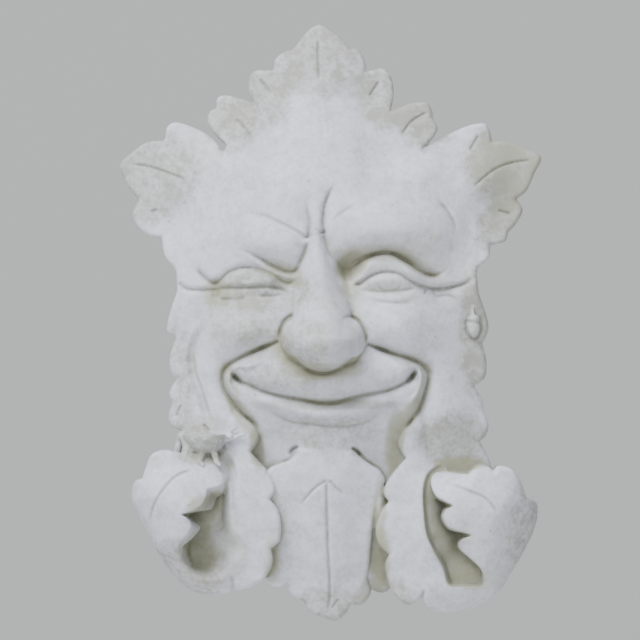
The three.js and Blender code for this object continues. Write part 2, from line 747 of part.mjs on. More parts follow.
// A rounded bar between two places of the sheet
function limb({ from, to, thick }) {
  const along = onSheet(to).sub(onSheet(from));
  const bar = new THREE.CapsuleGeometry(thick / 2, along.length(), 2, 6);
  const upright = new THREE.Vector3(0, 1, 0);
  bar.applyQuaternion(new THREE.Quaternion().setFromUnitVectors(upright, along.clone().normalize()));
  bar.translate(along.x / 2, along.y / 2, along.z / 2);
  return placed(bar, from);
}

// Half a bowl with its round side down, and six limbs
const creatureBody = { place: [205, 434, 40], half: 22, drop: 20, back: 2.6, rings: 5, sides: 16 };
const creatureLimbs = [
  { from: [185, 437, 37], to: [184, 458, 45], thick: 10 },
  { from: [181, 437, 33], to: [178, 449, 34], thick: 8.5 },
  { from: [204, 448, 43], to: [200, 461, 48.5], thick: 7.4 },
  { from: [213, 448, 43], to: [217, 461, 48.5], thick: 7.4 },
  { from: [222, 441, 40], to: [244, 434, 43], thick: 5.4 },
  { from: [224, 437, 40], to: [235, 427, 43], thick: 5.4 },
];

function creature() {
  const { place, half, drop, back, rings, sides } = creatureBody;
  const profile = [new THREE.Vector2(0, back), new THREE.Vector2(half, 0)];
  for (let i = 1; i <= rings; i++) {
    const angle = ((i / rings) * Math.PI) / 2;
    profile.push(new THREE.Vector2(half * Math.cos(angle), -drop * Math.sin(angle)));
  }
  profile.at(-1).x = 0;
  const body = new THREE.LatheGeometry(profile.reverse(), sides);
  body.rotateX(Math.PI / 2);
  return creatureLimbs.reduce((whole, one) => whole.add(limb(one)), placed(body, place));
}

const nut = { place: [474, 328, 29], half: 6, halfHigh: 9.5, halfDeep: 6 };
const nutCap = { place: [474, 319, 29.4], half: 6, halfHigh: 4.2, halfDeep: 6.2 };
const nutStalk = { from: [473, 307, 29.5], to: [473.5, 318, 31], thick: 3.4 };

function egg({ place, half, halfHigh, halfDeep }, sides, rows) {
  const form = new THREE.SphereGeometry(1, sides, rows);
  form.scale(half, halfDeep, halfHigh);
  return placed(form, place);
}

const acorn = () => egg(nut, 9, 6).add(egg(nutCap, 9, 4)).add(limb(nutStalk));

function hookPocket() {
  const box = new THREE.BoxGeometry(hookPocketWide, hookPocketDeep * 2, hookPocketTall);
  box.translate(0, 0, hookPocketUp - hookPocketTall / 2);
  return solidOf(box);
}

const wholeSheet = { left: 0, top: 0, size: sheetEdge, cells: 320 };
const footOfSheet = (left) => ({ left, top: 380, size: 256, cells: 128 });

const finished = leafSolid(faceMargin, wholeSheet, faceHeight)
  .add(leafSolid(beardMargin, footOfSheet(200), beardHeight))
  .add(curledLeaf(leftLeaf, footOfSheet(110)))
  .add(curledLeaf(rightLeaf, footOfSheet(310)))
  .add(creature())
  .add(acorn())
  .subtract(hookPocket());

function meshOf(name, solid, material) {
  const { vertProperties, triVerts } = solid.getMesh();
  const geometry = new THREE.BufferGeometry();
  geometry.setAttribute('position', new THREE.BufferAttribute(vertProperties, 3));
  geometry.setIndex(new THREE.BufferAttribute(triVerts, 1));
  geometry.computeVertexNormals();
  const mesh = new THREE.Mesh(geometry, material);
  mesh.name = name;
  return mesh;
}

const castStone = new THREE.MeshStandardMaterial({ color: 0xd3d0c8, roughness: 0.92, metalness: 0 });

const part = new THREE.Group();
part.add(meshOf('green_man_mask', finished, castStone));

export default part;
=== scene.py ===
import math
import bpy
import bmesh
import numpy as np
from mathutils import Matrix, Vector


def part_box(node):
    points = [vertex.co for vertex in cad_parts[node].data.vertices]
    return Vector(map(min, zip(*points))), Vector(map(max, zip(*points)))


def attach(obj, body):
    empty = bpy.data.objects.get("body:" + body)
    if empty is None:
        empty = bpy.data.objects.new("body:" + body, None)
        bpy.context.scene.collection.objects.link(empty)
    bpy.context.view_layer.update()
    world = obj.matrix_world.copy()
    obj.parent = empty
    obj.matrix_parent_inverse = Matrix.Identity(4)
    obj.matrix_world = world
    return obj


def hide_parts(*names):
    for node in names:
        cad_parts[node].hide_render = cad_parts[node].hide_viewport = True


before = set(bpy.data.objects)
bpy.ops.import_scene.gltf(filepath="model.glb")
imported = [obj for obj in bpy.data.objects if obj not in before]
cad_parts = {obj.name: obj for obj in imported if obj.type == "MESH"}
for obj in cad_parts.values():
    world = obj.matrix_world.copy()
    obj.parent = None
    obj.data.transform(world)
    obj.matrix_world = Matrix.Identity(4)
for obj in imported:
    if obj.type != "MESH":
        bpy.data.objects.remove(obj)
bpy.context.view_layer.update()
maskNode = "green_man_mask"
low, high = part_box(maskNode)

# The carving is drawn on a sheet of squares, x to the right and y down. The mask is wide by
# high of them, and heights are millimetres on a mask whose nose stands out by noseHeight.
sheet = {
    "wide": 423, "high": 598, "middleX": 322, "middleY": 323, "noseHeight": 82,
    "step": 0.8,   # spacing of the carved surface, in squares
    "edge": 640,                          # squares along each edge of the whole sheet
}
across = (high.x - low.x) / sheet["wide"]     # metres for each square
upward = (high.z - low.z) / sheet["high"]
rise = (high.y - low.y) / sheet["noseHeight"]  # metres for each millimetre of height


def onMask(x, y, height=0.0):
    return Vector(((x - sheet["middleX"]) * across, -height * rise, (sheet["middleY"] - y) * upward))


# Curves on the sheet

def splinePoints(points, stride=3.0):
    kept = [np.array(points[0], float)]
    for point in points[1:]:
        if math.dist(point, kept[-1]) > 0.01:
            kept.append(np.array(point, float))
    if len(kept) == 2:
        kept.insert(1, (kept[0] + kept[1]) / 2)
    row = [2 * kept[0] - kept[1], *kept, 2 * kept[-1] - kept[-2]]
    out = []
    for p0, p1, p2, p3 in zip(row, row[1:], row[2:], row[3:]):
        t1 = np.linalg.norm(p1 - p0) ** 0.5
        t2 = t1 + np.linalg.norm(p2 - p1) ** 0.5
        t3 = t2 + np.linalg.norm(p3 - p2) ** 0.5
        steps = max(1, round(np.linalg.norm(p2 - p1) / stride))
        for t in t1 + (t2 - t1) * np.arange(steps) / steps:
            a1 = (t1 - t) / t1 * p0 + t / t1 * p1
            a2 = (t2 - t) / (t2 - t1) * p1 + (t - t1) / (t2 - t1) * p2
            a3 = (t3 - t) / (t3 - t2) * p2 + (t - t2) / (t3 - t2) * p3
            b1 = (t2 - t) / t2 * a1 + t / t2 * a2
            b2 = (t3 - t) / (t3 - t1) * a2 + (t - t1) / (t3 - t1) * a3
            out.append((t2 - t) / (t2 - t1) * b1 + (t - t1) / (t2 - t1) * b2)
    return np.array(out + [kept[-1]])


def lobedPath(lobes, end, stride=2.0):
    # each lobe is a row that starts at a notch, and its curve stops at the next lobe's notch
    notches = [lobe[0] for lobe in lobes[1:]] + [end]
    return np.vstack([splinePoints([*lobe, notch], stride)[:-1] for lobe, notch in zip(lobes, notches)])


def leafMargin(lobes):
    return lobedPath(lobes, lobes[0][0])


def smooth(t):
    t = np.clip(t, 0, 1)
    return t * t * (3 - 2 * t)


def quarterRound(u, share):
    # fall of a rounded edge as u runs to 1, where share stops it just short of upright
    return 1 - np.sqrt(1 - share * u * u)


def softMax(a, b, blend):
    t = np.clip(0.5 + 0.5 * (a - b) / blend, 0, 1)
    return b * (1 - t) + a * t + blend * t * (1 - t)


class Relief:
    # a window of the sheet with a height at each spot of one shared lattice
    def __init__(self, left, top, right, bottom):
        step = sheet["step"]
        self.column = math.floor(left / step)
        self.row = math.floor(top / step)
        columns = math.ceil(right / step) - self.column + 1
        rows = math.ceil(bottom / step) - self.row + 1
        self.x, self.y = np.meshgrid((self.column + np.arange(columns)) * step,
                                     (self.row + np.arange(rows)) * step)
        self.z = np.zeros(self.x.shape)
        self.lines = []   # cuts and creases, which hold dirt and painted shade

    def window(self, lowX, lowY, highX, highY):
        # rows and columns of the lattice that cover these squares
        return tuple(slice(max(0, math.floor(start / sheet["step"]) - first),
                           max(0, math.ceil(end / sheet["step"]) - first + 1))
                     for start, end, first in ((lowY, highY, self.row), (lowX, highX, self.column)))

    def nearest(self, path, reach):
        # distance to a path up to reach, the side it lies on and the share along it
        best = np.full(self.x.shape, float(reach) ** 2)
        side = np.ones(self.x.shape)
        share = np.zeros(self.x.shape)
        length = np.hypot(*np.diff(path, axis=0).T)
        whole = length.sum()
        run = 0.0
        for a, b, span in zip(path, path[1:], length):
            lowX, lowY = np.minimum(a, b) - reach
            highX, highY = np.maximum(a, b) + reach
            part = self.window(lowX, lowY, highX, highY)
            dx = self.x[part] - a[0]
            dy = self.y[part] - a[1]
            ex, ey = (b - a) / span
            t = np.clip(dx * ex + dy * ey, 0, span)
            far = (dx - t * ex) ** 2 + (dy - t * ey) ** 2
            nearer = far < best[part]
            best[part] = np.where(nearer, far, best[part])
            side[part] = np.where(nearer, np.where(ex * dy - ey * dx > 0, 1, -1), side[part])
            share[part] = np.where(nearer, (run + t) / whole, share[part])
            run += span
        return np.sqrt(best), side, share

    def inside(self, loop):
        filled = np.zeros(self.x.shape, bool)
        for (ax, ay), (bx, by) in zip(loop, np.roll(loop, -1, axis=0)):
            if ay == by:
                continue
            lowY, highY = sorted((ay, by))
            rows, _ = self.window(0, lowY, 0, highY)
            y = self.y[rows]
            crossing = (bx - ax) * (y - ay) / (by - ay) + ax
            filled[rows] ^= ((ay > y) != (by > y)) & (self.x[rows] < crossing)
        return filled

    def insideDistance(self, loop, reach):
        distance, _, _ = self.nearest(np.vstack([loop, loop[:1]]), reach)
        return np.where(self.inside(loop), distance, -distance)

    def ground(self, places, spread):
        # heights blended between the places by nearness, with a faint tail for spots far from all
        total = np.zeros(self.x.shape)
        weight = np.full(self.x.shape, 1e-12)
        for x, y, height in places:
            far = (self.x - x) ** 2 + (self.y - y) ** 2
            w = np.exp(-far / (2 * spread * spread)) + 1e-9 / (1 + far)
            total += w * height
            weight += w
        self.z += total / weight

    def mound(self, x, y, halfWide, halfHigh, height, turn=0.0):
        reach = max(halfWide, halfHigh)
        part = self.window(x - reach, y - reach, x + reach, y + reach)
        c, s = math.cos(math.radians(turn)), math.sin(math.radians(turn))
        dx, dy = self.x[part] - x, self.y[part] - y
        u = (dx * c + dy * s) / halfWide
        v = (dy * c - dx * s) / halfHigh
        self.z[part] += height * np.clip(1 - u * u - v * v, 0, 1) ** 2

    def stroke(self, points, height, upper, lower, fade, profile):
        # upper is the flank above a curve that runs to the right, and lower is the same if not given
        lower = lower or upper
        distance, side, share = self.nearest(splinePoints(points), max(upper, lower))
        u = np.clip(distance / np.where(side > 0, lower, upper), 0, 1)
        start = smooth(share / fade[0]) if fade[0] else 1
        end = smooth((1 - share) / fade[1]) if fade[1] else 1
        self.z += height * profile(u) * start * end

    def cut(self, points, depth, upper, lower=None, fade=(0.15, 0.15)):
        self.lines.append((points, depth, fade))
        self.stroke(points, -depth, upper, lower, fade, lambda u: (1 - u) ** 2)

    def crease(self, points, depth, upper, lower=None, fade=(0.15, 0.15)):
        # a thin line between two rounded forms, each rolling down to it over its flank
        self.lines.append((points, depth, fade))
        self.stroke(points, -depth, upper, lower, fade, lambda u: quarterRound(1 - u, 0.995))

    def roll(self, points, height, upper, lower=None, fade=(0.2, 0.2)):
        self.stroke(points, height, upper, lower, fade, lambda u: (1 - u * u) ** 2)

    def carve(self, forms):
        # a piece's rows, each kind with the arguments of the method of its name
        for kind in ("mound", "roll", "crease", "cut"):
            for row in forms.get(kind, []):
                getattr(self, kind)(*row)

    def unevened(self):
        rows, columns = self.z.shape
        self.z += uneven[self.row:self.row + rows, self.column:self.column + columns]


def blurred(heights, spread):
    wave = np.fft.rfft2(heights)
    fy = np.fft.fftfreq(heights.shape[0])[:, None]
    fx = np.fft.rfftfreq(heights.shape[1])[None, :]
    wave *= np.exp(-2 * (math.pi * spread) ** 2 * (fx * fx + fy * fy))
    return np.fft.irfft2(wave, heights.shape)


def emptySheet():
    return Relief(0, 0, sheet["edge"], sheet["edge"])


wholeSheet = emptySheet()
hand = {"seed": 12, "waves": [(3, 0.05), (7, 0.16), (16, 0.35)]}   # squares, millimetres


def handUneven():
    # the slight waves that modelling by hand leaves all over the sheet
    total = np.zeros(wholeSheet.x.shape)
    chance = np.random.default_rng(hand["seed"])
    for spread, height in hand["waves"]:
        waves = blurred(chance.standard_normal(total.shape), spread / sheet["step"])
        total += height * waves / waves.std()
    return total


uneven = handUneven()


# Outline of the whole mask, clockwise from the crown's tip

outline = {
    "crownRight": [
        [[319, 24], [327, 28], [343, 40]],
        [[350, 48], [358, 49], [364, 58]],
        [[367, 71], [382, 68], [390, 74], [394, 92]],
        [[391, 111], [412, 103], [428, 103], [433, 112]],
        [[433, 117], [438, 128], [434, 137]],
        [[423, 149], [437, 141], [457, 130], [476, 123.5], [487, 124]],
        [[493, 141], [508, 141], [530, 149], [542, 157], [535, 174], [527, 191]],
        [[517, 199], [523.5, 209], [518, 222]],
        [[509, 232], [506, 241], [498, 243.5]],
        [[491, 245], [489, 258], [479, 267]],
    ],
    "cheekRight": [
        [[477, 272], [479, 292], [486, 313], [489, 328]],
        [[483, 344], [487, 362], [485, 378]],
        [[474, 386], [483, 400]],
        [[484, 411], [489, 425], [486, 436]],
        [[480, 441]],
    ],
    "beardFoot": [
        [[367, 579], [371, 593], [362, 605]],
        [[351, 605], [345, 615], [334, 622], [320, 617], [309, 613]],
        [[304, 602], [294, 597], [288, 589]],
        [[291, 581], [284, 586], [274, 587], [266, 580]],
    ],
    "curlLeft": [
        [[264, 580], [248, 588], [236, 590]],
        [[233, 585], [230, 592], [210, 595.5], [191, 591], [170, 572], [152, 543], [138, 515],
         [131, 497], [135, 481]],
        [[142, 479], [146, 467], [152, 454], [166, 450]],
    ],
    "cheekLeft": [
        [[180, 451], [182, 441]],
        [[181, 430], [174, 428], [168, 419]],
        [[171.5, 403], [169, 392]],
        [[176, 380], [170, 370], [170, 354]],
        [[175, 339], [167, 331], [169, 315], [177, 290]],
    ],
    "crownLeft": [
        [[177, 282], [175, 270], [165, 257]],
        [[161, 237], [150, 236], [134, 222], [132, 213]],
        [[138, 200], [127, 185], [119, 165], [130, 153], [146, 142]],
        [[164, 140], [167, 126], [174, 122], [195, 128], [212, 138]],
        [[223, 151], [226, 146], [214, 133], [207, 120], [210, 111]],
        [[216, 108], [217, 98], [224, 95], [240, 98.5], [252, 103]],
        [[260, 116], [256, 107], [249, 92], [249, 77], [254, 71]],
        [[273, 70], [275, 59], [283, 52]],
        [[293, 49], [302, 37], [312, 27]],
    ],
    # behind the beard and the curls the slab stops short of their edges
    "slabFoot": [
        [[489, 458]], [[497, 480]], [[490, 540]], [[462, 580]], [[404, 580]],
        [[392, 585], [386, 593], [374, 591], [367, 580]], [[360, 574]],
        [[331, 604]], [[292, 572]], [[250, 570]], [[200, 572]], [[166, 540]], [[150, 480]],
    ],
}
edge = {"reach": 4.5, "drop": 3.0}   # how far in and how far down the leaf edges are rounded


def roundedEdge(relief, inside, reach, drop):
    u = np.clip(1 - inside / reach, 0, 1)
    relief.z -= drop * quarterRound(u, 0.96)


def finishLeaf(relief, loop):
    relief.unevened()
    roundedEdge(relief, relief.insideDistance(loop, edge["reach"]), edge["reach"], edge["drop"])
    return relief, loop


# Face and crown. Rows of mounds are x, y, half width, half height, height and turn. Those of
# rolls, creases and cuts are points, height or depth, the flanks above and below, and how much
# of the length fades in and out. A window is left, top, right and bottom.

face = {
    "ground": [
        (319, 26, 16), (319, 70, 25), (319, 120, 34), (319, 165, 43), (322, 205, 50),
        (268, 78, 19), (225, 108, 18), (260, 135, 30), (172, 132, 17), (124, 165, 14),
        (190, 178, 30), (138, 215, 16), (172, 245, 25), (240, 185, 41), (375, 78, 19),
        (425, 112, 18), (395, 140, 30), (478, 132, 17), (540, 160, 14), (465, 183, 30),
        (515, 215, 16), (478, 245, 24), (402, 190, 42), (275, 232, 48), (375, 232, 49),
        (222, 250, 42), (430, 245, 44), (322, 250, 50), (250, 285, 44), (388, 285, 45),
        (192, 290, 33), (462, 288, 33), (322, 290, 50), (260, 325, 50), (388, 325, 50),
        (212, 335, 41), (438, 330, 42), (172, 335, 21), (487, 330, 21), (236, 375, 48),
        (418, 375, 48), (196, 385, 35), (456, 385, 34), (172, 390, 19), (484, 390, 20),
        (322, 380, 52), (280, 380, 50), (365, 380, 50), (322, 425, 45), (281, 425, 41),
        (362, 425, 41), (322, 470, 38), (265, 458, 22), (393, 458, 22), (222, 412, 45),
        (232, 432, 40), (432, 412, 45), (422, 440, 41), (198, 415, 33), (175, 425, 20),
        (455, 430, 34), (484, 435, 20), (200, 447, 32), (465, 464, 22), (432, 460, 34),
        (228, 455, 34), (322, 540, 16), (190, 520, 10), (470, 530, 10), (322, 620, 9),
        (215, 590, 10), (450, 600, 10), (382, 545, 22), (382, 585, 17), (205, 460, 41),
        (271, 556, 19), (325, 448, 52), (284, 458, 30), (366, 458, 30),
    ],
    "spread": 24,
    "veinDepth": 2.0, "veinFlank": 2.5,
    "veins": [
        [[318, 38], [318.5, 60], [319, 82]],
        [[259, 78], [272, 93]],
        [[235, 118], [243, 126], [251, 137]],
        [[130, 163.5], [150, 167], [168, 173], [188, 181]],
        [[150, 212], [158, 209]],
        [[380, 80], [369, 97]],
        [[428, 112], [415, 119], [407, 127], [402, 136]],
        [[479, 135], [470, 151]],
        [[533, 160], [515, 162], [496, 169], [472, 188]],
        [[498, 210], [512, 214]],
        [[182, 404], [176, 417]],
        [[203, 424], [210, 431]],
    ],
    # fuller floor of the groove between the beard and the right leaf
    "mound": [(380, 514, 12, 42, 11)],
    "roll": [
        # the crown's faint midline
        ([[319, 86], [321, 112], [323, 140], [324, 160]], -0.4, 3, 3, (0.3, 0.5)),
    ],
    "crease": [
        # edges of the nose's wings, then the line under its ball
        ([[295, 314], [286, 319], [281, 328], [279.5, 342]], 4, 4, 4, (0.15, 0.3)),
        ([[340, 320], [349, 316.5], [358, 320.5], [363.5, 330], [366.5, 343]], 4, 4, 4, (0.2, 0.1)),
        ([[280, 347], [285, 355], [294, 361], [302, 365.5], [311, 371], [321, 373], [332, 371.5],
         [343, 366], [356, 361], [365, 348]], 3.4, 2.5, 7, (0.2, 0.2)),
    ],
    "cut": [
        # notches at the ends of the beard's top and lines along its upper edges
        ([[299, 446], [294, 448], [290, 453], [289, 458]], 3.5, 4, 4, (0.1, 0.5)),
        ([[351, 447], [356, 450], [361, 455], [367, 461]], 3.5, 4, 4, (0.1, 0.5)),
        ([[355, 450], [362, 457.5], [371, 463], [380, 470], [385, 479]], 1, 2.5, 2.5),
        ([[294, 451], [288, 459], [280, 463], [270, 467], [262, 479]], 1, 2.5, 2.5),
        # ring round the acorn
        ([[470, 314], [466.5, 321], [467, 331], [471, 337.5], [474, 339.5], [477, 337.5], [481, 331],
         [481.5, 321], [478, 314]], 1.6, 3, 3, (0.1, 0.1)),
    ],
    "window": (112, 17, 548, 610),
}
nose = {
    "rootX": 316, "rootY": 234, "rootHalf": 9, "rootCrest": 53, "rootFlank": 17,
    "ballX": 323.5, "ballY": 339, "ballHalf": 34, "ballBelow": 33, "ballCrest": 82, "ballFlank": 32,
    "swell": 9, "swellFrom": 0.55,   # how far the ball swells out of the bridge's line, and from where
    # powers of the bridge's widening, climb and flank, and the slope above the root
    "widening": 0.8, "climb": 0.9, "flankPower": 2.3, "rootSlope": 1.2,
    # x, y, half width, half height, depth, top
    "leftWing": (300.5, 338, 21, 22, 26, 71),
    "rightWing": (346.5, 339, 20.5, 22, 26, 71),
    "blend": 9,
    # how softly its foot runs into the face: crisp at the root and the wings, soft between
    "foot": lambda y: 1.5 + 9 * smooth((y - 252) / 14) * smooth((318 - y) / 10),
}


brows = {
    "mound": [(272, 243, 50, 30, 6, 12), (388, 228, 82, 38, 8, 4), (316, 218, 9, 30, 2)],
    "roll": [
        ([[331, 248], [339, 263], [347, 280], [354, 296]], -4, 12, 6, (0.3, 0.4)),
    ],
    "crease": [
        # between the brows
        ([[337, 182], [332, 189], [327, 198], [324.5, 208], [323, 222], [325, 240], [330, 252],
         [335, 262]], 4.5, 12, 5, (0.25, 0.3)),
        ([[305, 200], [308, 213], [309.5, 224], [308, 238]], 3, 6, 8, (0.5, 0)),
        ([[307, 238], [314, 234], [324, 233]], 3, 5, 3, (0, 0)),
        # right brow, with a deep crease under it
        ([[330, 222], [340, 214], [352, 206], [365, 200]], 1, 5, 9, (0.2, 0.5)),
        ([[436, 199], [447, 210], [453, 220], [459, 233]], 3.2, 6, 12, (0.35, 0.35)),
        ([[344, 272], [351, 267], [360, 261], [372, 256], [384, 253.5], [393, 254.5], [403, 260],
         [413, 266.5], [421, 272], [428, 275.5], [435, 276], [442, 273], [450, 268]],
         10.5, 26, 6, (0.3, 0.22)),
        # left brow
        ([[240, 212], [265, 216], [285, 225], [301, 234], [308, 240]], 2.8, 5, 13, (0.7, 0.05)),
        ([[234, 249], [246, 252], [260, 259], [275, 267.5], [288, 272.5], [296, 271], [301, 262],
         [305, 253], [309, 240]], 6.5, 18, 6, (0.35, 0.1)),
    ],
}
eyes = {
    "mound": [
        (350, 267, 22, 17, -9, -35), (390, 276, 45, 16, 4), (256, 281, 42, 17, 5),
        (247, 280, 7, 4, -1.2), (216, 286, 8, 7, -2.5), (216, 295, 6, 7, -2.5), (280, 286, 13, 12, -3),
    ],
    "roll": [
        # lids of the right eye
        ([[352, 280], [358, 272], [368, 265.5], [385, 262], [400, 264.5], [413, 272], [425, 280],
         [440, 283.5], [458, 280]], 2.0, 8, 7, (0.15, 0.15)),
        ([[362, 295], [380, 297], [400, 297], [418, 293]], 1.5, 5, 6),
    ],
    "crease": [
        # right eye: lid edge, lower lid, iris, outer corner
        ([[352, 286], [360, 283], [367, 278], [375, 274], [386, 272], [399, 274], [409, 280],
         [422, 286], [436, 288.5], [450, 287], [465, 283], [477, 275]], 5.5, 5, 10, (0.05, 0.15)),
        ([[357, 289], [370, 291], [385, 292], [400, 291], [418, 288]], 2.6, 8, 3),
        ([[376, 279], [380, 288], [389, 291], [398, 288], [402, 278]], 0.7, 3, 3, (0.3, 0.3)),
        ([[432, 290], [437, 296], [447, 295], [457, 299], [462, 305]], 2, 4, 6, (0.1, 0.4)),
        # left eye, shut
        ([[196, 267], [203, 276], [212, 283], [219, 281], [229, 272.5], [243, 268], [260, 270],
         [274, 276], [287, 283], [293, 282], [297, 277]], 5, 8, 9, (0.08, 0.1)),
        ([[178, 282], [184, 288], [193, 290], [215, 290], [224, 288.5], [245, 288], [270, 287],
         [281, 289], [293, 296]], 4.2, 6, 5, (0.03, 0.1)),
        ([[218, 300], [228, 299.5], [240, 299], [247, 297]], 3.2, 6, 4),
        ([[258, 296], [275, 296], [287, 293]], 3.0, 5, 4, (0.2, 0.2)),
    ],
    "cut": [
        ([[368, 299], [385, 302], [403, 303], [418, 299]], 0.8, 4, 5, (0.3, 0.3)),
        ([[426, 289], [424, 295]], 1.8, 2.5, 2.5, (0.2, 0.2)),
    ],
}
smile = {
    "mound": [
        (248, 325, 54, 40, 8, -10), (400, 324, 54, 40, 8, 10), (322, 374, 105, 34, 4),
        (238, 378, 11, 6, -4, 40), (412, 376, 11, 6, -4, -55),
    ],
    "roll": [
        # ridges inside the folds
        ([[262, 360], [250, 366], [238, 366], [230, 374], [229, 385], [234, 395], [246, 407]],
         2.5, 4.5, 4.5, (0.25, 0.25)),
        ([[408, 362], [417, 368], [421, 378], [419, 390], [411, 404]], 2.5, 4.5, 4.5, (0.25, 0.25)),
        # lower lip and the groove under the nose
        ([[250, 393], [270, 403], [292, 410], [325, 414], [355, 411], [378, 404], [398, 393]],
         4, 11, 10, (0.25, 0.25)),
        ([[318, 375], [317, 387], [319, 399]], -1.2, 7, 7),
        # edge of the left cheek against its leaf
        ([[213, 431], [207, 410], [200, 388], [194, 370], [193, 354], [198, 336], [208, 323]],
         -4.2, 8, 3.5, (0.2, 0.25)),
    ],
    "crease": [
        # folds from the nose round the mouth
        ([[280, 340], [271, 344], [255, 351], [240, 358], [230, 364], [224, 371], [222.5, 380],
         [224.5, 390], [231, 400], [242, 414], [252, 424], [260, 433]], 10, 12, 26, (0.14, 0.12)),
        ([[366, 343], [378, 348], [395, 354.5], [410, 359], [422, 364.5], [428.5, 373], [427.5, 383],
         [424, 395], [418, 411], [410, 424], [403, 431]], 10, 26, 12, (0.14, 0.12)),
        ([[279, 340.5], [271, 344], [255, 351], [245, 355]], 5, 5, 7, (0.04, 0.6)),
        ([[367, 343.5], [378, 348], [392, 353.5], [402, 356]], 5, 5, 7, (0.04, 0.6)),
        # between the lips, and under the lower one
        ([[233, 374], [236, 378], [241, 382], [248, 384], [262, 390.5], [280, 395.5], [300, 399],
         [322, 403], [335, 402.5], [350, 398.5], [368, 394], [388, 390], [402, 384], [411, 378],
         [415, 372]], 7.5, 12, 12, (0, 0)),
        ([[264, 406], [276, 414], [290, 421], [312, 424], [332, 426], [350, 425.5], [368, 421],
         [386, 405]], 2.2, 8, 14, (0.3, 0.3)),
    ],
}


def domed(q):
    # fall of a ball's surface where q runs from 1 at its middle to 0 at its rim and below
    return 1 - np.where(q > 0, np.sqrt(np.abs(q)), q)


def wing(relief, form):
    x, y, halfWide, halfHigh, depth, top = form
    q = 1 - ((relief.x - x) / halfWide) ** 2 - ((relief.y - y) / halfHigh) ** 2
    return top - depth * domed(q)


def noseHeight(relief):
    # sections across the bridge swell into the ball, which then turns under
    t = np.clip((relief.y - nose["rootY"]) / (nose["ballY"] - nose["rootY"]), 0, 1)
    swelling = smooth((t - nose["swellFrom"]) / (1 - nose["swellFrom"]))
    half = nose["rootHalf"] + (nose["ballHalf"] - nose["rootHalf"]) * t ** nose["widening"]
    middle = nose["rootX"] + (nose["ballX"] - nose["rootX"]) * t
    line = nose["ballCrest"] - nose["swell"] - nose["rootCrest"]
    crest = nose["rootCrest"] + line * t ** nose["climb"] + nose["swell"] * swelling
    u = (relief.x - middle) / half
    v = np.maximum(relief.y - nose["ballY"], 0) / nose["ballBelow"]
    bridge = nose["rootFlank"] * np.abs(u) ** nose["flankPower"]
    bridge += nose["rootSlope"] * np.maximum(nose["rootY"] - relief.y, 0)
    fall = bridge * (1 - swelling) + nose["ballFlank"] * domed(1 - u * u - v * v) * swelling
    wings = np.maximum(wing(relief, nose["leftWing"]), wing(relief, nose["rightWing"]))
    return softMax(crest - fall, wings, nose["blend"])


def carveFace():
    loop = leafMargin(outline["crownRight"] + outline["cheekRight"] + outline["slabFoot"]
                      + outline["cheekLeft"] + outline["crownLeft"])
    relief = Relief(*face["window"])
    relief.ground(face["ground"], face["spread"])
    for forms in (brows, eyes, smile):
        relief.carve(forms)
    relief.z = softMax(relief.z, noseHeight(relief), nose["foot"](relief.y))
    relief.carve(face)
    for vein in face["veins"]:
        relief.cut(vein, face["veinDepth"], face["veinFlank"])
    return finishLeaf(relief, loop)


# Beard leaf

beard = {
    "margin": [
        [[297, 449], [325, 445]],
        [[353, 450], [361, 457], [370, 464], [380, 470], [385, 479]],
        [[384, 484], [383, 500], [375, 515], [372, 535], [370, 560]],
        *outline["beardFoot"],
        [[272, 560], [264, 520], [262, 480]],
        [[270, 467], [280, 463], [290, 460]],
    ],
    "ground": [
        (325, 450, 43), (300, 455, 41), (350, 455, 41), (325, 480, 42), (285, 480, 37),
        (370, 480, 36), (325, 520, 37), (280, 520, 32), (370, 520, 31), (327, 560, 31),
        (280, 560, 26), (372, 560, 25), (330, 595, 24), (275, 588, 18), (385, 590, 18),
        (334, 620, 15), (300, 600, 19), (360, 605, 19),
    ],
    "spread": 20,
    "cut": [
        # midrib, then side veins
        ([[327, 476], [327, 500], [328, 545], [330, 590], [328, 616]], 2.2, 3.5, 3.5, (0.1, 0.1)),
        ([[327, 480], [317, 486], [308, 495], [298, 508]], 1.6, 3, 3, (0.05, 0.4)),
        ([[329, 480], [338, 489], [347, 496]], 1.6, 3, 3, (0.05, 0.4)),
        ([[339, 599], [331, 610]], 1.4, 2.5, 2.5, (0.1, 0.2)),
    ],
    "window": (255, 438, 396, 630),
}


def carveBeard():
    loop = leafMargin(beard["margin"])
    relief = Relief(*beard["window"])
    relief.ground(beard["ground"], beard["spread"])
    relief.carve(beard)
    return finishLeaf(relief, loop)


# Side leaves, which roll up into a curl at the foot. The hollow's mouth, between the curl's
# cut tip and the rim, is what shows from the front, and its bowl runs in under the tip.

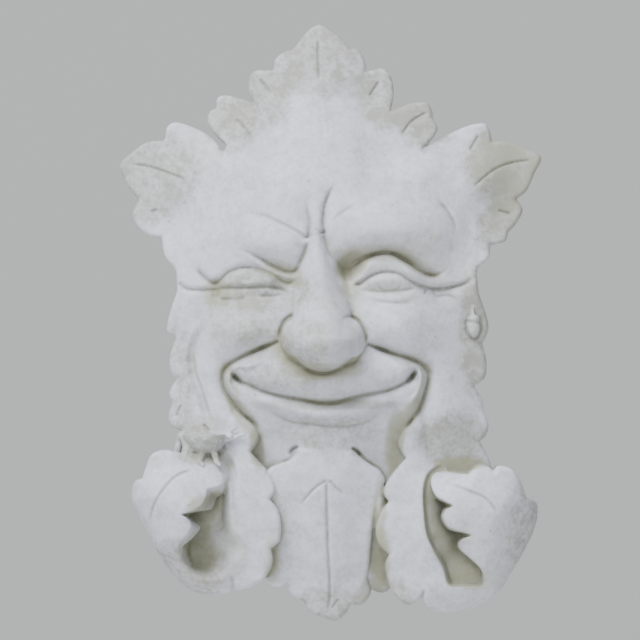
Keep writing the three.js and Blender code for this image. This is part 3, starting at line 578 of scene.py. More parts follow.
curl = {
    "reach": 34, "drop": 27, "roof": 35, "spread": 14, "floorSpread": 9, "slopeReach": 30,
    "groove": (-5, 7, 11, (0.3, 0.5)),      # height, flanks and fades of a stroke
    "break": (2.2, 3.5, 3.5, (0.4, 0)),
    "crease": (1.4, 3, 3, (0.2, 0.3)),
    "wallReach": 25, "wallBlend": 4,        # the tip's cut edge
}
leftLeaf = {
    "margin": [
        [[228, 398], [243, 416], [254, 426], [259, 438]],
        [[251, 452], [260, 462], [268, 472], [275, 489]],
        [[270, 499], [278, 510], [281, 525], [279, 541]],
        [[271, 548], [272.5, 562]],
        *outline["curlLeft"],
        [[178, 453], [192, 453], [208, 453], [222, 453]],
        [[224, 450], [221, 436], [214, 405]],
    ],
    "ground": [
        (228, 400, 32), (221, 435, 36), (229, 450, 36), (244, 427, 42), (250, 440, 41), (243, 470, 41),
        (260, 500, 40), (248, 520, 42), (258, 550, 39), (235, 580, 36), (205, 585, 36),
        (178, 570, 38), (155, 530, 42), (140, 495, 42), (160, 490, 50), (185, 488, 54),
        (210, 478, 53), (190, 505, 54), (175, 530, 47), (152, 462, 40), (190, 463, 46),
    ],
    "turned": [[152, 442], [140, 468], [131, 497], [138, 515], [152, 543], [170, 572], [191, 591],
               [212, 596], [235, 593], [258, 586]],
    "outward": lambda x, y: smooth((262 - x) / 60) * smooth((y - 455) / 40),
    "vein": [[149, 524], [154, 505], [163, 490], [176, 476], [195, 468]],
    "groove": [[219, 453], [226, 458], [231, 468], [233, 484], [234, 505]],
    "break": [[231, 574], [233, 582], [233, 590]],
    "tip": [
        [[231, 472], [228, 477], [222, 484]],
        [[207, 488], [206, 496], [201, 505], [190, 511]],
        [[179, 513], [187.5, 517.5], [191.5, 524], [187.5, 533], [179, 543], [176, 556]],
    ],
    "rim": [[180, 568], [188, 578], [199, 583], [215, 585], [238, 576], [249, 558], [245, 540], [235, 528],
            [232, 512], [233, 490]],
    "under": [[216, 474], [199, 486], [184, 502], [175, 518], [175, 533], [176, 546], [176, 556]],
    "floor": [
        (226, 480, 35), (222, 497, 31), (216, 512, 27), (206, 525, 22), (198, 540, 18), (198, 555, 18),
        (203, 565, 20), (213, 554, 22), (222, 538, 28), (234, 542, 35), (242, 560, 39), (224, 572, 34),
        (205, 580, 33), (186, 573, 31), (180, 510, 20), (200, 492, 24), (174, 540, 22), (240, 525, 38),
    ],
    "slope": lambda y: 11 + 5 * smooth((y - 525) / 15),
    "steep": lambda y: 1.6 + 5.5 * smooth((y - 509) / 4) * smooth((528 - y) / 15),
    "creases": [[[231, 484], [231.5, 505], [228, 518], [221, 528], [210, 534]],
                [[189, 540], [189.5, 553], [193, 566], [200, 574], [210, 577]]],
    # how much olive stain and painted shade fills the curl's mouth
    "mouthStainAndShade": 0.35,
    "window": (122, 390, 290, 605),
}
rightLeaf = {
    "margin": [
        [[422, 400], [411, 423], [401, 434], [398, 445]],
        [[406, 458], [395, 470], [386, 484], [384, 494]],
        [[389, 501], [380, 514], [376, 530], [379, 544]],
        [[389, 554], [385, 565], [389.5, 585], [397, 597], [410, 605]],
        [[422, 598], [431, 609.5], [455, 613], [480, 605], [499, 594], [512, 573], [525, 551],
         [537, 523], [537, 503]],
        [[527, 498], [525, 492], [519, 478], [510, 468], [497, 466]],
        [[494, 471], [487, 466], [478, 466]],
        [[468, 474], [457, 473], [448, 471]],
        [[446, 467], [449, 446], [443, 420]],
    ],
    "ground": [
        (424, 402, 32), (446, 430, 32), (447, 452, 24), (444, 463, 24), (411, 430, 42), (404, 445, 41),
        (415, 470, 41), (400, 500, 40), (412, 520, 42), (398, 550, 39), (405, 585, 36), (450, 600, 36),
        (495, 580, 36), (515, 540, 40), (528, 510, 40), (490, 500, 51), (462, 490, 54), (445, 485, 54),
        (450, 515, 54), (478, 530, 50), (478, 556, 44), (485, 472, 44), (505, 475, 42), (422, 462, 40),
    ],
    "turned": [[508, 460], [526, 480], [538, 503], [537, 523], [525, 551], [512, 573], [499, 594],
               [480, 606], [455, 613], [431, 611], [405, 607]],
    "outward": lambda x, y: smooth((x - 400) / 60) * smooth((y - 465) / 40),
    "vein": [[449, 482], [470, 491], [486, 498], [499, 514]],
    "break": [[426, 588], [423, 594], [422, 602]],
    "tip": [
        [[452, 469], [445, 471], [437, 472], [431.5, 477], [431, 484], [436, 495], [446, 501]],
        [[454, 505], [446, 509], [443, 517], [448, 526], [462, 531]],
        [[473, 534.5], [461, 539], [459, 546], [470, 557], [480, 567]],
    ],
    "rim": [[485, 578], [484, 586], [466, 587.5], [449, 586], [442, 568], [433, 551], [426, 535],
            [422.5, 512], [422, 488], [426, 474], [434, 466], [446, 462]],
    "under": [[443, 477], [450, 484], [466, 498], [478, 516], [485, 545], [486, 566]],
    "floor": [
        (430, 485, 39), (431, 505, 40), (436, 525, 38.5), (444, 545, 33), (454, 565, 27), (466, 578, 26),
        (480, 576, 26), (462, 545, 22), (450, 520, 23), (445, 500, 25), (470, 520, 20), (478, 550, 22),
        (432, 473, 35), (444, 467, 29),
    ],
    "slope": lambda y: 4 + 2 * smooth((y - 540) / 20),
    "steep": lambda y: 7,
    "creases": [[[427, 506], [429, 522], [433, 535], [440, 549]],
                [[482, 577], [485, 586], [489, 594]]],
    # how much olive stain and painted shade fills the curl's mouth
    "mouthStainAndShade": 1.0,
    "window": (372, 390, 548, 622),
}


def carveSideLeaf(leaf):
    loop = leafMargin(leaf["margin"])
    relief = Relief(*leaf["window"])
    relief.ground(leaf["ground"], curl["spread"])
    relief.cut(leaf["vein"], face["veinDepth"], face["veinFlank"])
    if "groove" in leaf:
        relief.roll(leaf["groove"], *curl["groove"])
    relief.cut(leaf["break"], *curl["break"])
    turned, _, _ = relief.nearest(splinePoints(leaf["turned"]), curl["reach"])
    roundedEdge(relief, turned, curl["reach"], curl["drop"] * leaf["outward"](relief.x, relief.y))
    return finishLeaf(relief, loop)


def mouthLoop(leaf):
    return leafMargin([*leaf["tip"], leaf["rim"]])


def bowlLoop(leaf):
    return leafMargin([leaf["rim"], [leaf["tip"][0][0], *leaf["under"]]])


def carveHollow(leaf, rim):
    # the air above the hollow's floor, which climbs to the rim all round
    relief = Relief(*leaf["window"])
    relief.ground(leaf["floor"], curl["floorSpread"])
    relief.unevened()
    for line in leaf["creases"]:
        relief.crease(line, *curl["crease"])
    inside = relief.insideDistance(bowlLoop(leaf), curl["slopeReach"])
    floor = np.minimum(rim.z, relief.z)
    relief.z = rim.z + (floor - rim.z) * smooth(inside / leaf["slope"](relief.y))
    return relief


def carveMouth(leaf, rim, hollow):
    # the same air from the front, where the tip's cut edge slopes down as a thick wall
    relief = Relief(*leaf["window"])
    reach = curl["wallReach"]
    far, _, _ = relief.nearest(lobedPath(leaf["tip"], leaf["rim"][0]), reach)
    wall = rim.z - leaf["steep"](relief.y) * far
    relief.z = softMax(hollow.z, np.where(far < reach, wall, 0), curl["wallBlend"])
    return relief


# Solids from the reliefs

def faceOutwards(bm):
    bmesh.ops.recalc_face_normals(bm, faces=bm.faces)
    if bm.calc_volume(signed=True) < 0:
        bmesh.ops.reverse_faces(bm, faces=bm.faces)


def placed(name, data):
    made = bpy.data.objects.new(name, data)
    bpy.context.scene.collection.objects.link(made)
    return made


def meshObject(name, bm):
    mesh = bpy.data.meshes.new(name)
    bm.to_mesh(mesh)
    bm.free()
    return placed(name, mesh)


def corners(mesh):
    co = np.empty(len(mesh.vertices) * 3)
    mesh.vertices.foreach_get("co", co)
    return co.reshape(-1, 3)


def reliefBlock(name, relief, flatAt):
    # a grid lifted to the relief, its rim brought to the flat side and closed there
    rows, columns = relief.x.shape
    bm = bmesh.new()
    bmesh.ops.create_grid(bm, x_segments=columns - 1, y_segments=rows - 1, size=0.5)
    made = meshObject(name, bm)
    co = corners(made.data)
    i = np.rint((co[:, 0] + 0.5) * (columns - 1)).astype(int)
    j = np.rint((0.5 - co[:, 1]) * (rows - 1)).astype(int)
    z = relief.z.copy()
    z[[0, -1]] = flatAt
    z[:, [0, -1]] = flatAt
    co[:, 0] = (relief.x[j, i] - sheet["middleX"]) * across
    co[:, 1] = -z[j, i] * rise
    co[:, 2] = (sheet["middleY"] - relief.y[j, i]) * upward
    made.data.vertices.foreach_set("co", co.ravel())
    bm = bmesh.new()
    bm.from_mesh(made.data)
    bmesh.ops.edgeloop_fill(bm, edges=[e for e in bm.edges if e.is_boundary])
    faceOutwards(bm)
    bm.to_mesh(made.data)
    bm.free()
    return made


def outlineBlock(name, loop, bottom, top):
    bm = bmesh.new()
    base = bm.faces.new([bm.verts.new(onMask(x, y, bottom)) for x, y in loop])
    bm.faces.ensure_lookup_table()
    raised = bmesh.ops.extrude_face_region(bm, geom=[base])["geom"]
    lift = onMask(0, 0, top) - onMask(0, 0, bottom)
    bmesh.ops.translate(bm, vec=lift, verts=[v for v in raised if isinstance(v, bmesh.types.BMVert)])
    faceOutwards(bm)
    return meshObject(name, bm)


def applyModifiers(thing):
    graph = bpy.context.evaluated_depsgraph_get()
    made = bpy.data.meshes.new_from_object(thing.evaluated_get(graph))
    thing.modifiers.clear()
    thing.data = made


def combine(thing, tool, operation):
    step = thing.modifiers.new(operation, "BOOLEAN")
    step.operation = operation
    step.solver = "MANIFOLD"
    step.object = tool
    applyModifiers(thing)
    bpy.data.objects.remove(tool)
    return thing


blocks = {"tall": sheet["noseHeight"] + 20, "clear": 10}   # millimetres, above all of the relief


def leafSolid(name, relief, loop):
    block = reliefBlock(name, relief, 0)
    return combine(block, outlineBlock(name + "Edge", loop, 0, blocks["tall"]), "INTERSECT")


def curledLeaf(name, leaf):
    relief, loop = carveSideLeaf(leaf)
    hollow = carveHollow(leaf, relief)
    mouth = carveMouth(leaf, relief, hollow)
    made = leafSolid(name, relief, loop)
    cuts = (("mouth", mouth, mouthLoop(leaf), blocks["tall"]),
            ("bowl", hollow, bowlLoop(leaf), curl["roof"]))
    for part, floor, opening, top in cuts:
        air = reliefBlock(part + "Air", floor, blocks["tall"] + blocks["clear"])
        shape = outlineBlock(part + "Shape", opening, 0, top)
        combine(made, combine(air, shape, "INTERSECT"), "DIFFERENCE")
    return made, (relief, loop, mouth, leaf)


# The small creature on the left curl: half a bowl with its round side down, and its limbs

creature = {
    "body": (205, 434, 40), "half": 22, "drop": 20, "back": 2.6,   # in squares of the sheet
    "limbs": [   # each from, to, thickness at both ends
        ((185, 436, 37), (187, 447, 43), 9.5, 9),
        ((187, 447, 43), (184, 458, 45), 9, 8),
        ((181, 436, 33), (178, 449, 34), 8.5, 7.5),
        ((204, 448, 43), (200, 461, 48.5), 8, 5.5),
        ((213, 448, 43), (217, 461, 48.5), 8, 5.5),
        ((200, 461, 48.5), (203, 464, 49), 4.5, 4),
        ((217, 461, 48.5), (220, 464, 49), 4.5, 4),
        ((222, 441, 40), (244, 434, 43), 5.5, 3.5),
        ((224, 437, 40), (235, 427, 43), 5, 3.5),
        ((196, 437, 51.4), (205, 446, 50), 3, 2.6),
        ((205, 446, 50), (214, 449, 46.6), 2.6, 2.2),
        ((206, 439, 51.9), (217, 442, 49.4), 3, 2.4),
    ],
    "knobs": [((183, 436, 37), 5.5), ((190.5, 451, 43), 4), ((230, 436, 43), 3), ((184, 459, 46), 4)],
}
acorn = {
    "nut": (474, 328, 29), "nutHalf": (6, 9.5, 6),
    "cap": (474, 319, 29.4), "capHalf": (6, 4.2, 6.2),
    "stalk": ((473, 307, 29.5), (473.5, 318, 31), 3, 3.4),
}


def egg(bm, place, half):
    # half width, half height and half depth in squares
    turn = Matrix.Translation(onMask(*place)) @ Matrix.Diagonal((half[0] * across, half[2] * across,
                                                                 half[1] * upward, 1))
    bmesh.ops.create_uvsphere(bm, u_segments=32, v_segments=20, radius=1, matrix=turn)


def limb(bm, start, end, thick, thin):
    a, b = onMask(*start), onMask(*end)
    turn = Vector((0, 0, 1)).rotation_difference(b - a).to_matrix().to_4x4()
    middle = Matrix.Translation((a + b) / 2) @ turn
    bmesh.ops.create_cone(bm, cap_ends=True, segments=24, radius1=thick / 2 * across,
                          radius2=thin / 2 * across, depth=(b - a).length, matrix=middle)
    egg(bm, start, (thick / 2,) * 3)
    egg(bm, end, (thin / 2,) * 3)


def makeCreature():
    bm = bmesh.new()
    half, drop = creature["half"] * across, creature["drop"] * upward
    bmesh.ops.create_uvsphere(bm, u_segments=48, v_segments=32, radius=half)
    bmesh.ops.bisect_plane(bm, geom=bm.verts[:] + bm.edges[:] + bm.faces[:], plane_co=(0, 0, 0),
                           plane_no=(0, 0, 1), clear_outer=True)
    rim = [e for e in bm.edges if e.is_boundary]
    lid = bmesh.ops.edgeloop_fill(bm, edges=rim)["faces"]
    peak = bmesh.ops.poke(bm, faces=lid)["verts"]
    bmesh.ops.translate(bm, vec=(0, 0, creature["back"] * upward), verts=peak)
    bmesh.ops.scale(bm, vec=(1, 1, drop / half), verts=bm.verts)
    bmesh.ops.translate(bm, vec=onMask(*creature["body"]), verts=bm.verts)
    for one in creature["limbs"]:
        limb(bm, *one)
    for place, radius in creature["knobs"]:
        egg(bm, place, (radius,) * 3)
    faceOutwards(bm)
    return meshObject("creature", bm)


def makeAcorn():
    bm = bmesh.new()
    egg(bm, acorn["nut"], acorn["nutHalf"])
    egg(bm, acorn["cap"], acorn["capHalf"])
    limb(bm, *acorn["stalk"])
    faceOutwards(bm)
    return meshObject("acorn", bm)


# Recess in the back for a nail or a hook

hook = {"wide": 0.030, "tall": 0.020, "deep": 0.014, "roof": 0.080}   # metres


def makeHookRecess():
    bm = bmesh.new()
    size = Matrix.Diagonal((hook["wide"], 2 * hook["deep"], hook["tall"], 1))
    place = Matrix.Translation((0, 0, hook["roof"] - hook["tall"] / 2))
    bmesh.ops.create_cube(bm, size=1, matrix=place @ size)
    return meshObject("hookRecess", bm)


# The cast: all of it melted into one skin, slightly softened, then thinned

cast = {
    "grain": 0.00054,   # metres between the skin's corners before thinning
    "softening": 1, "softenBy": 0.5,              # times, and how far each time
    "triangles": 192000,
    "sharp": 50,   # degrees, from which an edge is seen as an arris
}


def triangleCount(thing):
    return sum(len(polygon.vertices) - 2 for polygon in thing.data.polygons)


def castMask(parts):
    whole = parts[0]
    bm = bmesh.new()
    for part in parts:
        bm.from_mesh(part.data)
    bm.to_mesh(whole.data)
    bm.free()
    for part in parts[1:]:
        bpy.data.objects.remove(part)
    whole.name = "greenManMask"
    skin = whole.modifiers.new("skin", "REMESH")
    skin.mode = "VOXEL"
    skin.voxel_size = cast["grain"]
    applyModifiers(whole)
    print("skin of", len(whole.data.polygons), "faces")
    combine(whole, makeHookRecess(), "DIFFERENCE")
    soften = whole.modifiers.new("soften", "SMOOTH")
    soften.factor = cast["softenBy"]
    soften.iterations = cast["softening"]
    applyModifiers(whole)
    count = triangleCount(whole)
    thin = whole.modifiers.new("thin", "DECIMATE")
    thin.ratio = min(1, cast["triangles"] / count)
    applyModifiers(whole)
    whole.data.shade_smooth()
    whole.data.set_sharp_from_angle(angle=math.radians(cast["sharp"]))
    print("thinned to", triangleCount(whole), "triangles")
    return whole


# Where dirt and algae have settled, with painted shade in the same places: the hollows of the carving, and
# the places listed

weatherAndShade = {
    # places are x, y, half width and height in squares, amount and, if any, turn
    "khakiAndShade": [     # the broad olive stain of sheltered places, with painted shade there
        # painted shade as well as stain: under the brows and the nose, below the lip line, under the
        # creature, above the right curl, in the folds, gaps and curl hollows
        (352, 266, 22, 15, 0.9, -30), (376, 253, 46, 11, 0.6), (420, 268, 34, 9, 0.4, 30),
        (350, 288, 14, 12, 0.5, 30), (286, 274, 26, 14, 0.6, 25),
        (216, 293, 18, 16, 0.7), (231, 388, 10, 34, 0.6, -12), (423, 388, 10, 34, 0.5, 12),
        (246, 420, 11, 30, 0.8, -38), (405, 421, 11, 32, 0.9, 30), (284, 346, 14, 24, 0.35),
        (250, 357, 44, 8, 0.5, -25), (402, 357, 40, 8, 0.4, 25), (322, 371, 50, 10, 0.6),
        (257, 450, 10, 24, 0.8, -10), (394, 440, 11, 38, 0.9, 5), (462, 463, 34, 8, 0.95),
        (380, 560, 13, 38, 0.9), (205, 424, 32, 10, 0.45), (202, 552, 18, 30, 0.35),
        (272, 560, 10, 30, 0.5), (322, 404, 100, 7, 0.45), (226, 462, 10, 14, 0.4),
        (380, 508, 8, 40, 0.7), (352, 363, 15, 8, 0.5, -10), (292, 361, 15, 8, 0.5, 15),
        (198, 504, 17, 10, 0.7, -35), (211, 507, 11, 22, 0.5, 25), (206, 456, 24, 8, 0.4),
        (316, 300, 26, 60, 0.2), (340, 340, 30, 30, 0.25), (228, 326, 60, 36, 0.2),
        # the first two rows darken the right lobes, which face away from the light: painted shade as well
        # as stain
        (515, 166, 56, 54, 0.35), (512, 222, 32, 30, 0.3), (322, 384, 90, 26, 0.15),
    ],
    "dirtAndShade": [      # dirt and painted shade in the darkest corners
        # painted shade: under the brow, the nose and the lip line, in the mouth corners, under the
        # creature, in the curl hollows and the gaps between leaves
        (350, 268, 15, 10, 0.15, -30), (322, 372, 34, 6, 0.4),
        (352, 364, 12, 5, 0.25, -10), (292, 362, 12, 5, 0.2, 15), (335, 404, 80, 6, 0.15),
        (232, 378, 5, 7, 0.4), (415, 376, 5, 7, 0.4), (215, 291, 7, 7, 0.25),
        (199, 549, 15, 26, 0.2), (205, 560, 14, 20, 0.15), (196, 518, 15, 6, 0.4),
        (213, 503, 8, 18, 0.3, 25), (203, 501, 14, 10, 0.25, -35), (206, 456, 16, 5, 0.35),
        (380, 573, 10, 30, 0.45), (257, 448, 8, 22, 0.45, -10), (397, 443, 9, 32, 0.3, 5),
        (443, 540, 18, 34, 0.12, -20), (192, 453, 5, 5, 0.35), (228, 446, 7, 6, 0.3, -30),
        (181, 450, 3, 8, 0.3), (294, 451, 6, 6, 0.35), (356, 452, 6, 6, 0.35), (222, 148, 5, 6, 0.4),
        (425, 149, 5, 6, 0.4), (392, 410, 8, 20, 0.15),
    ],
    "weathered": [  # worn leaf edges, yellowed and mottled, and painted shade on the right lobes
        # the first row also darkens the right lobes, which face away from the light: painted shade as well
        # as wear
        (512, 165, 56, 52, 1.0), (425, 118, 40, 34, 0.8), (385, 90, 36, 44, 0.7),
        (319, 50, 56, 60, 0.6), (262, 95, 36, 40, 0.6), (232, 125, 32, 34, 0.5),
        (150, 175, 56, 56, 0.6), (505, 230, 34, 34, 0.7), (532, 540, 30, 70, 0.5),
        (480, 330, 24, 80, 0.5), (455, 440, 46, 34, 0.6), (262, 290, 66, 26, 0.5),
        (185, 570, 54, 38, 0.45), (385, 600, 36, 28, 0.7), (330, 606, 44, 24, 0.5),
        (300, 345, 34, 34, 0.4), (238, 318, 50, 30, 0.3), (330, 432, 60, 20, 0.4),
        (285, 372, 50, 22, 0.35), (176, 380, 22, 70, 0.4), (200, 445, 34, 24, 0.5),
    ],
    "hollows": [   # blur in squares, depth in millimetres that is fully stained, khaki, dirt: stain and painted shade in the recesses
        (2.0, 1.4, 0.25, 0.2), (5, 4, 0.35, 0.06), (16, 22, 0.5, 0),
    ],
    "sides": 0.45,            # how weathered the edges and the back are
    "front": (1, 8),          # height from which a spot is at the front, and how far that takes
    "plateau": 1.4,           # how soon a place reaches its full amount
    "mouthEdge": 1.2,         # how softly the stain and painted shade in a curl's mouth end, in squares
    # a line's width and how much it widens for each millimetre of cut, in squares
    "lineWidth": 1.0, "lineSpread": 0.2, "lineLeast": 0.36, "lineDepth": 14, "lineMost": 0.42,
    "lineReach": 2.5, "lineFade": 0.02,
}


def wholeRelief(layers):
    whole = np.zeros(wholeSheet.x.shape)
    for relief, loop, mouth, leaf in layers:
        z = np.where(relief.inside(loop), relief.z, 0)
        if mouth:
            z = np.where(relief.inside(mouthLoop(leaf)), np.minimum(z, mouth.z), z)
        rows = slice(relief.row, relief.row + z.shape[0])
        columns = slice(relief.column, relief.column + z.shape[1])
        whole[rows, columns] = np.maximum(whole[rows, columns], z)
    return whole


def placedAmounts(rows):
    total = np.zeros(wholeSheet.x.shape)
    for x, y, halfWide, halfHigh, amount, *turn in rows:
        spot = emptySheet()
        spot.mound(x, y, halfWide, halfHigh, 1, *turn)
        total += amount * smooth(weatherAndShade["plateau"] * np.sqrt(spot.z))
    return total


def lineAmounts(layers):
    # dirt and painted shade in the cuts and creases
    amounts = emptySheet()
    for relief, *_ in layers:
        for points, depth, fade in relief.lines:
            width = weatherAndShade["lineWidth"] + depth * weatherAndShade["lineSpread"]
            reach = weatherAndShade["lineReach"] * width
            near, _, share = amounts.nearest(splinePoints(points), reach)
            starting, ending = np.maximum(fade, weatherAndShade["lineFade"])
            ends = smooth(share / starting) * smooth((1 - share) / ending)
            dirtAndShade = min(weatherAndShade["lineMost"], weatherAndShade["lineLeast"] + depth / weatherAndShade["lineDepth"]) * ends
            amounts.z = np.maximum(amounts.z, dirtAndShade * np.exp(-(near / width) ** 2) * (near < reach))
    return amounts.z


def sampled(values, x, y):
    i = np.clip(x / sheet["step"], 0, values.shape[1] - 1.001)
    j = np.clip(y / sheet["step"], 0, values.shape[0] - 1.001)
    i0, j0 = i.astype(int), j.astype(int)
    u, v = i - i0, j - j0
    upper = values[j0, i0] * (1 - u) + values[j0, i0 + 1] * u
    lower = values[j0 + 1, i0] * (1 - u) + values[j0 + 1, i0 + 1] * u
    return upper * (1 - v) + lower * v


def weatherAndShadeMask(mask, layers):
    whole = wholeRelief(layers)
    co = corners(mask.data)
    x = co[:, 0] / across + sheet["middleX"]
    y = sheet["middleY"] - co[:, 2] / upward
    height = -co[:, 1] / rise
    start, over = weatherAndShade["front"]
    front = smooth((height - start) / over)
    amounts = {name: front * sampled(placedAmounts(weatherAndShade[name]), x, y)
               for name in ("khakiAndShade", "dirtAndShade", "weathered")}
    amounts["weathered"] += weatherAndShade["sides"] * (1 - front)
    amounts["dirtAndShade"] += sampled(lineAmounts(layers), x, y)
    # olive stain and painted shade over each curl's mouth
    for leaf in (leftLeaf, rightLeaf):
        stainedAndShaded = leaf["mouthStainAndShade"] * wholeSheet.inside(mouthLoop(leaf))
        stainedAndShaded = blurred(stainedAndShaded, weatherAndShade["mouthEdge"] / sheet["step"])
        amounts["khakiAndShade"] += sampled(stainedAndShaded, x, y)
    # stain and painted shade, the more the deeper a spot sits below the blurred carving around it
    for spread, depth, khakiAndShade, dirtAndShade in weatherAndShade["hollows"]:
        around = sampled(blurred(whole, spread / sheet["step"]), x, y)
        sheltered = front * np.clip((around - height) / depth, 0, 1)
        amounts["khakiAndShade"] += khakiAndShade * sheltered
        amounts["dirtAndShade"] += dirtAndShade * sheltered
    for name, values in amounts.items():
        layer = mask.data.attributes.new(name, "FLOAT", "POINT")
        layer.data.foreach_set("value", np.clip(values, 0, 1).astype(np.float32))


# Shader maths written as sums

class Shading:
    def __init__(self, material):
        material.use_nodes = True
        self.tree = material.node_tree
        self.tree.nodes.clear()

    def add(self, kind, settings, sockets, output=0):
        made = self.tree.nodes.new(kind)
        for name, value in settings.items():
            setattr(made, name, value)
        for name, value in sockets.items():
            if isinstance(value, Amount):
                self.tree.links.new(value.socket, made.inputs[name])
            else:
                made.inputs[name].default_value = value
        return Amount(self, made.outputs[output]) if made.outputs else None

    def noise(self, place, scale, detail=3.0, roughness=0.55):
        return self.add("ShaderNodeTexNoise", {}, {"Vector": place, "Scale": scale, "Detail": detail,
                                                   "Roughness": roughness})

    def mix(self, factor, a, b):
        return self.add("ShaderNodeMix", {"data_type": "RGBA"}, {0: factor, 6: a, 7: b}, 2)

    def surface(self, sockets):
        shader = self.add("ShaderNodeBsdfPrincipled", {}, sockets)
        self.add("ShaderNodeOutputMaterial", {}, {"Surface": shader})


class Amount:
    def __init__(self, shading, socket):
        self.shading = shading
        self.socket = socket

    def math(self, operation, first, second, clamp=False):
        return self.shading.add("ShaderNodeMath", {"operation": operation, "use_clamp": clamp},
                                {0: first, 1: second})

    def __add__(self, other):
        return self.math("ADD", self, other)

    def __sub__(self, other):
        return self.math("SUBTRACT", self, other)

    def __rsub__(self, other):
        return self.math("SUBTRACT", other, self)

    def __mul__(self, other):
        return self.math("MULTIPLY", self, other)

    def clamped(self):
        return self.math("ADD", self, 0.0, True)

    def between(self, least, most):
        # 0 at least and 1 at most, eased
        return self.shading.add("ShaderNodeMapRange", {"interpolation_type": "SMOOTHSTEP"},
                                {0: self, 1: least, 2: most, 3: 0.0, 4: 1.0})

    __radd__ = __add__
    __rmul__ = __mul__


castStone = {
    "cool": (0.686, 0.706, 0.815, 1), "warm": (0.700, 0.693, 0.675, 1),
    "pale": (0.775, 0.785, 0.830, 1), "grey": (0.400, 0.400, 0.390, 1),
    # the olive colour here and the near-black one below also paint shade in recesses and under forms
    "weathered": (0.395, 0.400, 0.350, 1), "khakiAndShade": (0.345, 0.347, 0.228, 1),
    "dirtAndShade": (0.165, 0.165, 0.120, 1), "pit": (0.300, 0.290, 0.240, 1),
    # scale, detail and roughness of each noise
    "broad": (14, 3), "patches": (70, 4), "small": (210, 3, 0.6), "speckle": (700, 2), "grit": (1900, 2),
    "pitPlaces": (120, 2), "wornPatches": (55, 5, 0.65),
    "mottle": [(31, 0.08), (73, 0.15), (175, 0.19), (400, 0.18)],   # scale and share of each size
    "pits": 260,   # scale of their cells
    # the most that a colour covers of those under it
    "covers": {"pale": 0.5, "khakiAndShade": 0.92, "dirtAndShade": 0.9, "pit": 0.7, "speckle": 0.14},
    "rough": 0.84, "roughSpread": 0.12, "shine": 0.3, "bump": 0.35, "bumpDepth": 0.0008,
}


def makeCastStone():
    material = bpy.data.materials.new("castStone")
    s = Shading(material)
    place = s.add("ShaderNodeTexCoord", {}, {}, "Object")
    khakiAndShade, dirtAndShade, worn = (s.add("ShaderNodeAttribute", {"attribute_name": name}, {}, "Fac")
                         for name in ("khakiAndShade", "dirtAndShade", "weathered"))
    broad, patches, small, speckle, grit, pitPlaces, wornPatches = (
        s.noise(place, *castStone[name])
        for name in ("broad", "patches", "small", "speckle", "grit", "pitPlaces", "wornPatches"))
    pits = s.add("ShaderNodeTexVoronoi", {}, {"Vector": place, "Scale": castStone["pits"]}, "Distance")
    pit = (1 - pits.between(0.10, 0.24)) * pitPlaces.between(0.62, 0.72)
    covers = castStone["covers"]

    colour = s.mix(broad.between(0.47, 0.76), castStone["cool"], castStone["warm"])
    colour = s.mix(patches.between(0.45, 0.75) * covers["pale"], colour, castStone["pale"])
    mottle = 0
    for scale, share in castStone["mottle"]:
        mottle = s.noise(place, scale, 2, 0.5).between(0.42, 0.64) * share + mottle
    colour = s.mix(mottle * (1 + worn * 3.0), colour, castStone["grey"])
    yellowed = worn * (0.60 + wornPatches.between(0.36, 0.66) * 0.40)
    colour = s.mix(yellowed, colour, castStone["weathered"])
    # olive stain and painted shade of sheltered places
    soakAndShade = (khakiAndShade * (0.35 + patches * 0.70 + small * 0.35)).clamped()
    colour = s.mix(soakAndShade * covers["khakiAndShade"], colour, castStone["khakiAndShade"])
    # near-black dirt and painted shade in the darkest corners and creases
    grimeAndShade = (dirtAndShade * (0.45 + patches * 0.50 + small * 0.50)).clamped()
    colour = s.mix(grimeAndShade * covers["dirtAndShade"], colour, castStone["dirtAndShade"])
    colour = s.mix(pit * covers["pit"], colour, castStone["pit"])
    colour = s.mix(speckle.between(0.58, 0.76) * covers["speckle"], colour, castStone["grey"])

    height = patches * 0.35 + small * 0.30 + speckle * 0.35 + grit * 0.25 - pit * 0.9
    normal = s.add("ShaderNodeBump", {}, {"Strength": castStone["bump"], "Distance": castStone["bumpDepth"],
                                          "Height": height})
    rough = castStone["rough"] + speckle * castStone["roughSpread"]
    s.surface({"Base Color": colour, "Roughness": rough, "Specular IOR Level": castStone["shine"],
               "Normal": normal})
    return material


# Stage: a pale sweep, a camera at the photograph's angle and soft light from the upper left

view = {
    "distance": 5.0, "farthest": 40,                # metres
    "centreX": 320, "centreY": 320, "plane": 30,    # squares, and millimetres off the wall
    "sensor": 36.0,
}
stage = {
    "floor": -1.2, "back": 7.5, "front": -8.0, "half": 8.0, "bend": 1.6, "turns": 16, "top": 6.5,
    "colour": (0.84, 0.84, 0.82, 1), "roughness": 0.9,
}


def makeCamera():
    data = bpy.data.cameras.new("photoCamera")
    camera = placed("photoCamera", data)
    aim = onMask(view["centreX"], view["centreY"], view["plane"])
    camera.location = aim + Vector((0, -view["distance"], 0))
    camera.rotation_euler = (math.pi / 2, 0, 0)
    data.sensor_width = view["sensor"]
    data.lens = view["sensor"] * view["distance"] / (sheet["edge"] * (across + upward) / 2)
    data.clip_end = view["farthest"]
    bpy.context.scene.camera = camera


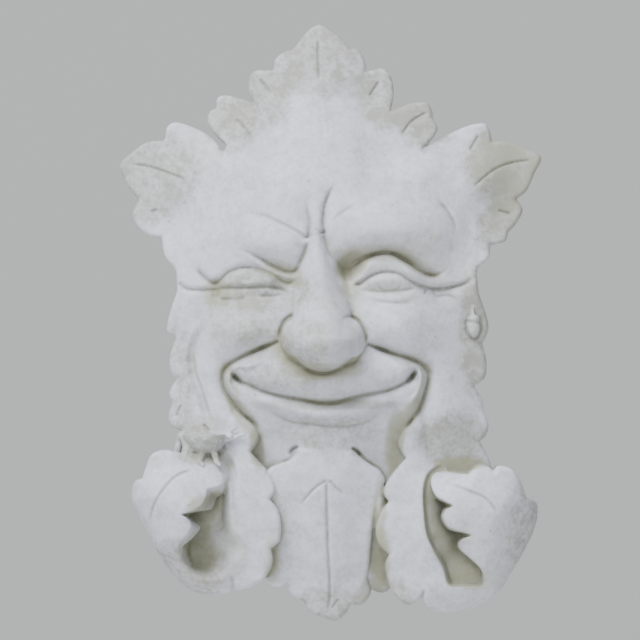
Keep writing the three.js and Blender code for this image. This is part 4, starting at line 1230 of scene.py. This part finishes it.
def makeSweep():
    bm = bmesh.new()
    half = stage["half"]
    near = [bm.verts.new((x, stage["front"], stage["floor"])) for x in (-half, half)]
    line = bm.edges.new(near)
    steps = [(0, stage["back"] - stage["bend"] - stage["front"], 0)]
    for i in range(stage["turns"]):
        a, b = (math.pi / 2 * k / stage["turns"] for k in (i, i + 1))
        steps.append((0, stage["bend"] * (math.sin(b) - math.sin(a)),
                      stage["bend"] * (math.cos(a) - math.cos(b))))
    steps.append((0, 0, stage["top"] - stage["floor"] - stage["bend"]))
    for step in steps:
        made = bmesh.ops.extrude_edge_only(bm, edges=[line])["geom"]
        line = next(e for e in made if isinstance(e, bmesh.types.BMEdge))
        bmesh.ops.translate(bm, vec=step, verts=line.verts)
    sweep = meshObject("paleSweep", bm)
    sweep.data.shade_smooth()
    material = bpy.data.materials.new("paleSweep")
    Shading(material).surface({"Base Color": stage["colour"], "Roughness": stage["roughness"]})
    sweep.data.materials.append(material)


lights = {   # place and width in metres, power, colour
    "skyLight": ((-1.3, -2.0, 3.0), 2.6, 224, (0.955, 0.975, 1.0)),
    "frontLight": ((-0.8, -3.6, 0.4), 2.4, 36, (1.0, 0.99, 0.97)),
}
sky = {"Color": (0.93, 0.95, 1.0, 1), "Strength": 0.54}   # light from all sides


def softLight(name, place, size, power, colour):
    data = bpy.data.lights.new(name, "AREA")
    data.shape = "DISK"
    data.size = size
    data.energy = power
    data.color = colour
    light = placed(name, data)
    light.location = place
    light.rotation_euler = (-Vector(place)).to_track_quat("-Z", "Y").to_euler()


def makeLight():
    for name, row in lights.items():
        softLight(name, *row)
    world = bpy.data.worlds.new("studio")
    bpy.context.scene.world = world
    world.use_nodes = True
    for name, value in sky.items():
        world.node_tree.nodes["Background"].inputs[name].default_value = value


makeCamera()
makeSweep()
makeLight()
print("carving the face")
faceRelief, faceLoop = carveFace()
faceSolid = leafSolid("face", faceRelief, faceLoop)
print("carving the leaves")
beardRelief, beardLoop = carveBeard()
beardSolid = leafSolid("beard", beardRelief, beardLoop)
leftSolid, leftLayer = curledLeaf("leftLeaf", leftLeaf)
rightSolid, rightLayer = curledLeaf("rightLeaf", rightLeaf)
print("casting")
mask = castMask([faceSolid, beardSolid, leftSolid, rightSolid, makeCreature(), makeAcorn()])
# stains, wear and painted shade
print("weathering")
plainLayers = [(faceRelief, faceLoop, None, None), (beardRelief, beardLoop, None, None)]
weatherAndShadeMask(mask, [*plainLayers, leftLayer, rightLayer])
mask.data.materials.clear()
mask.data.materials.append(makeCastStone())
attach(mask, "root")
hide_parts(maskNode)
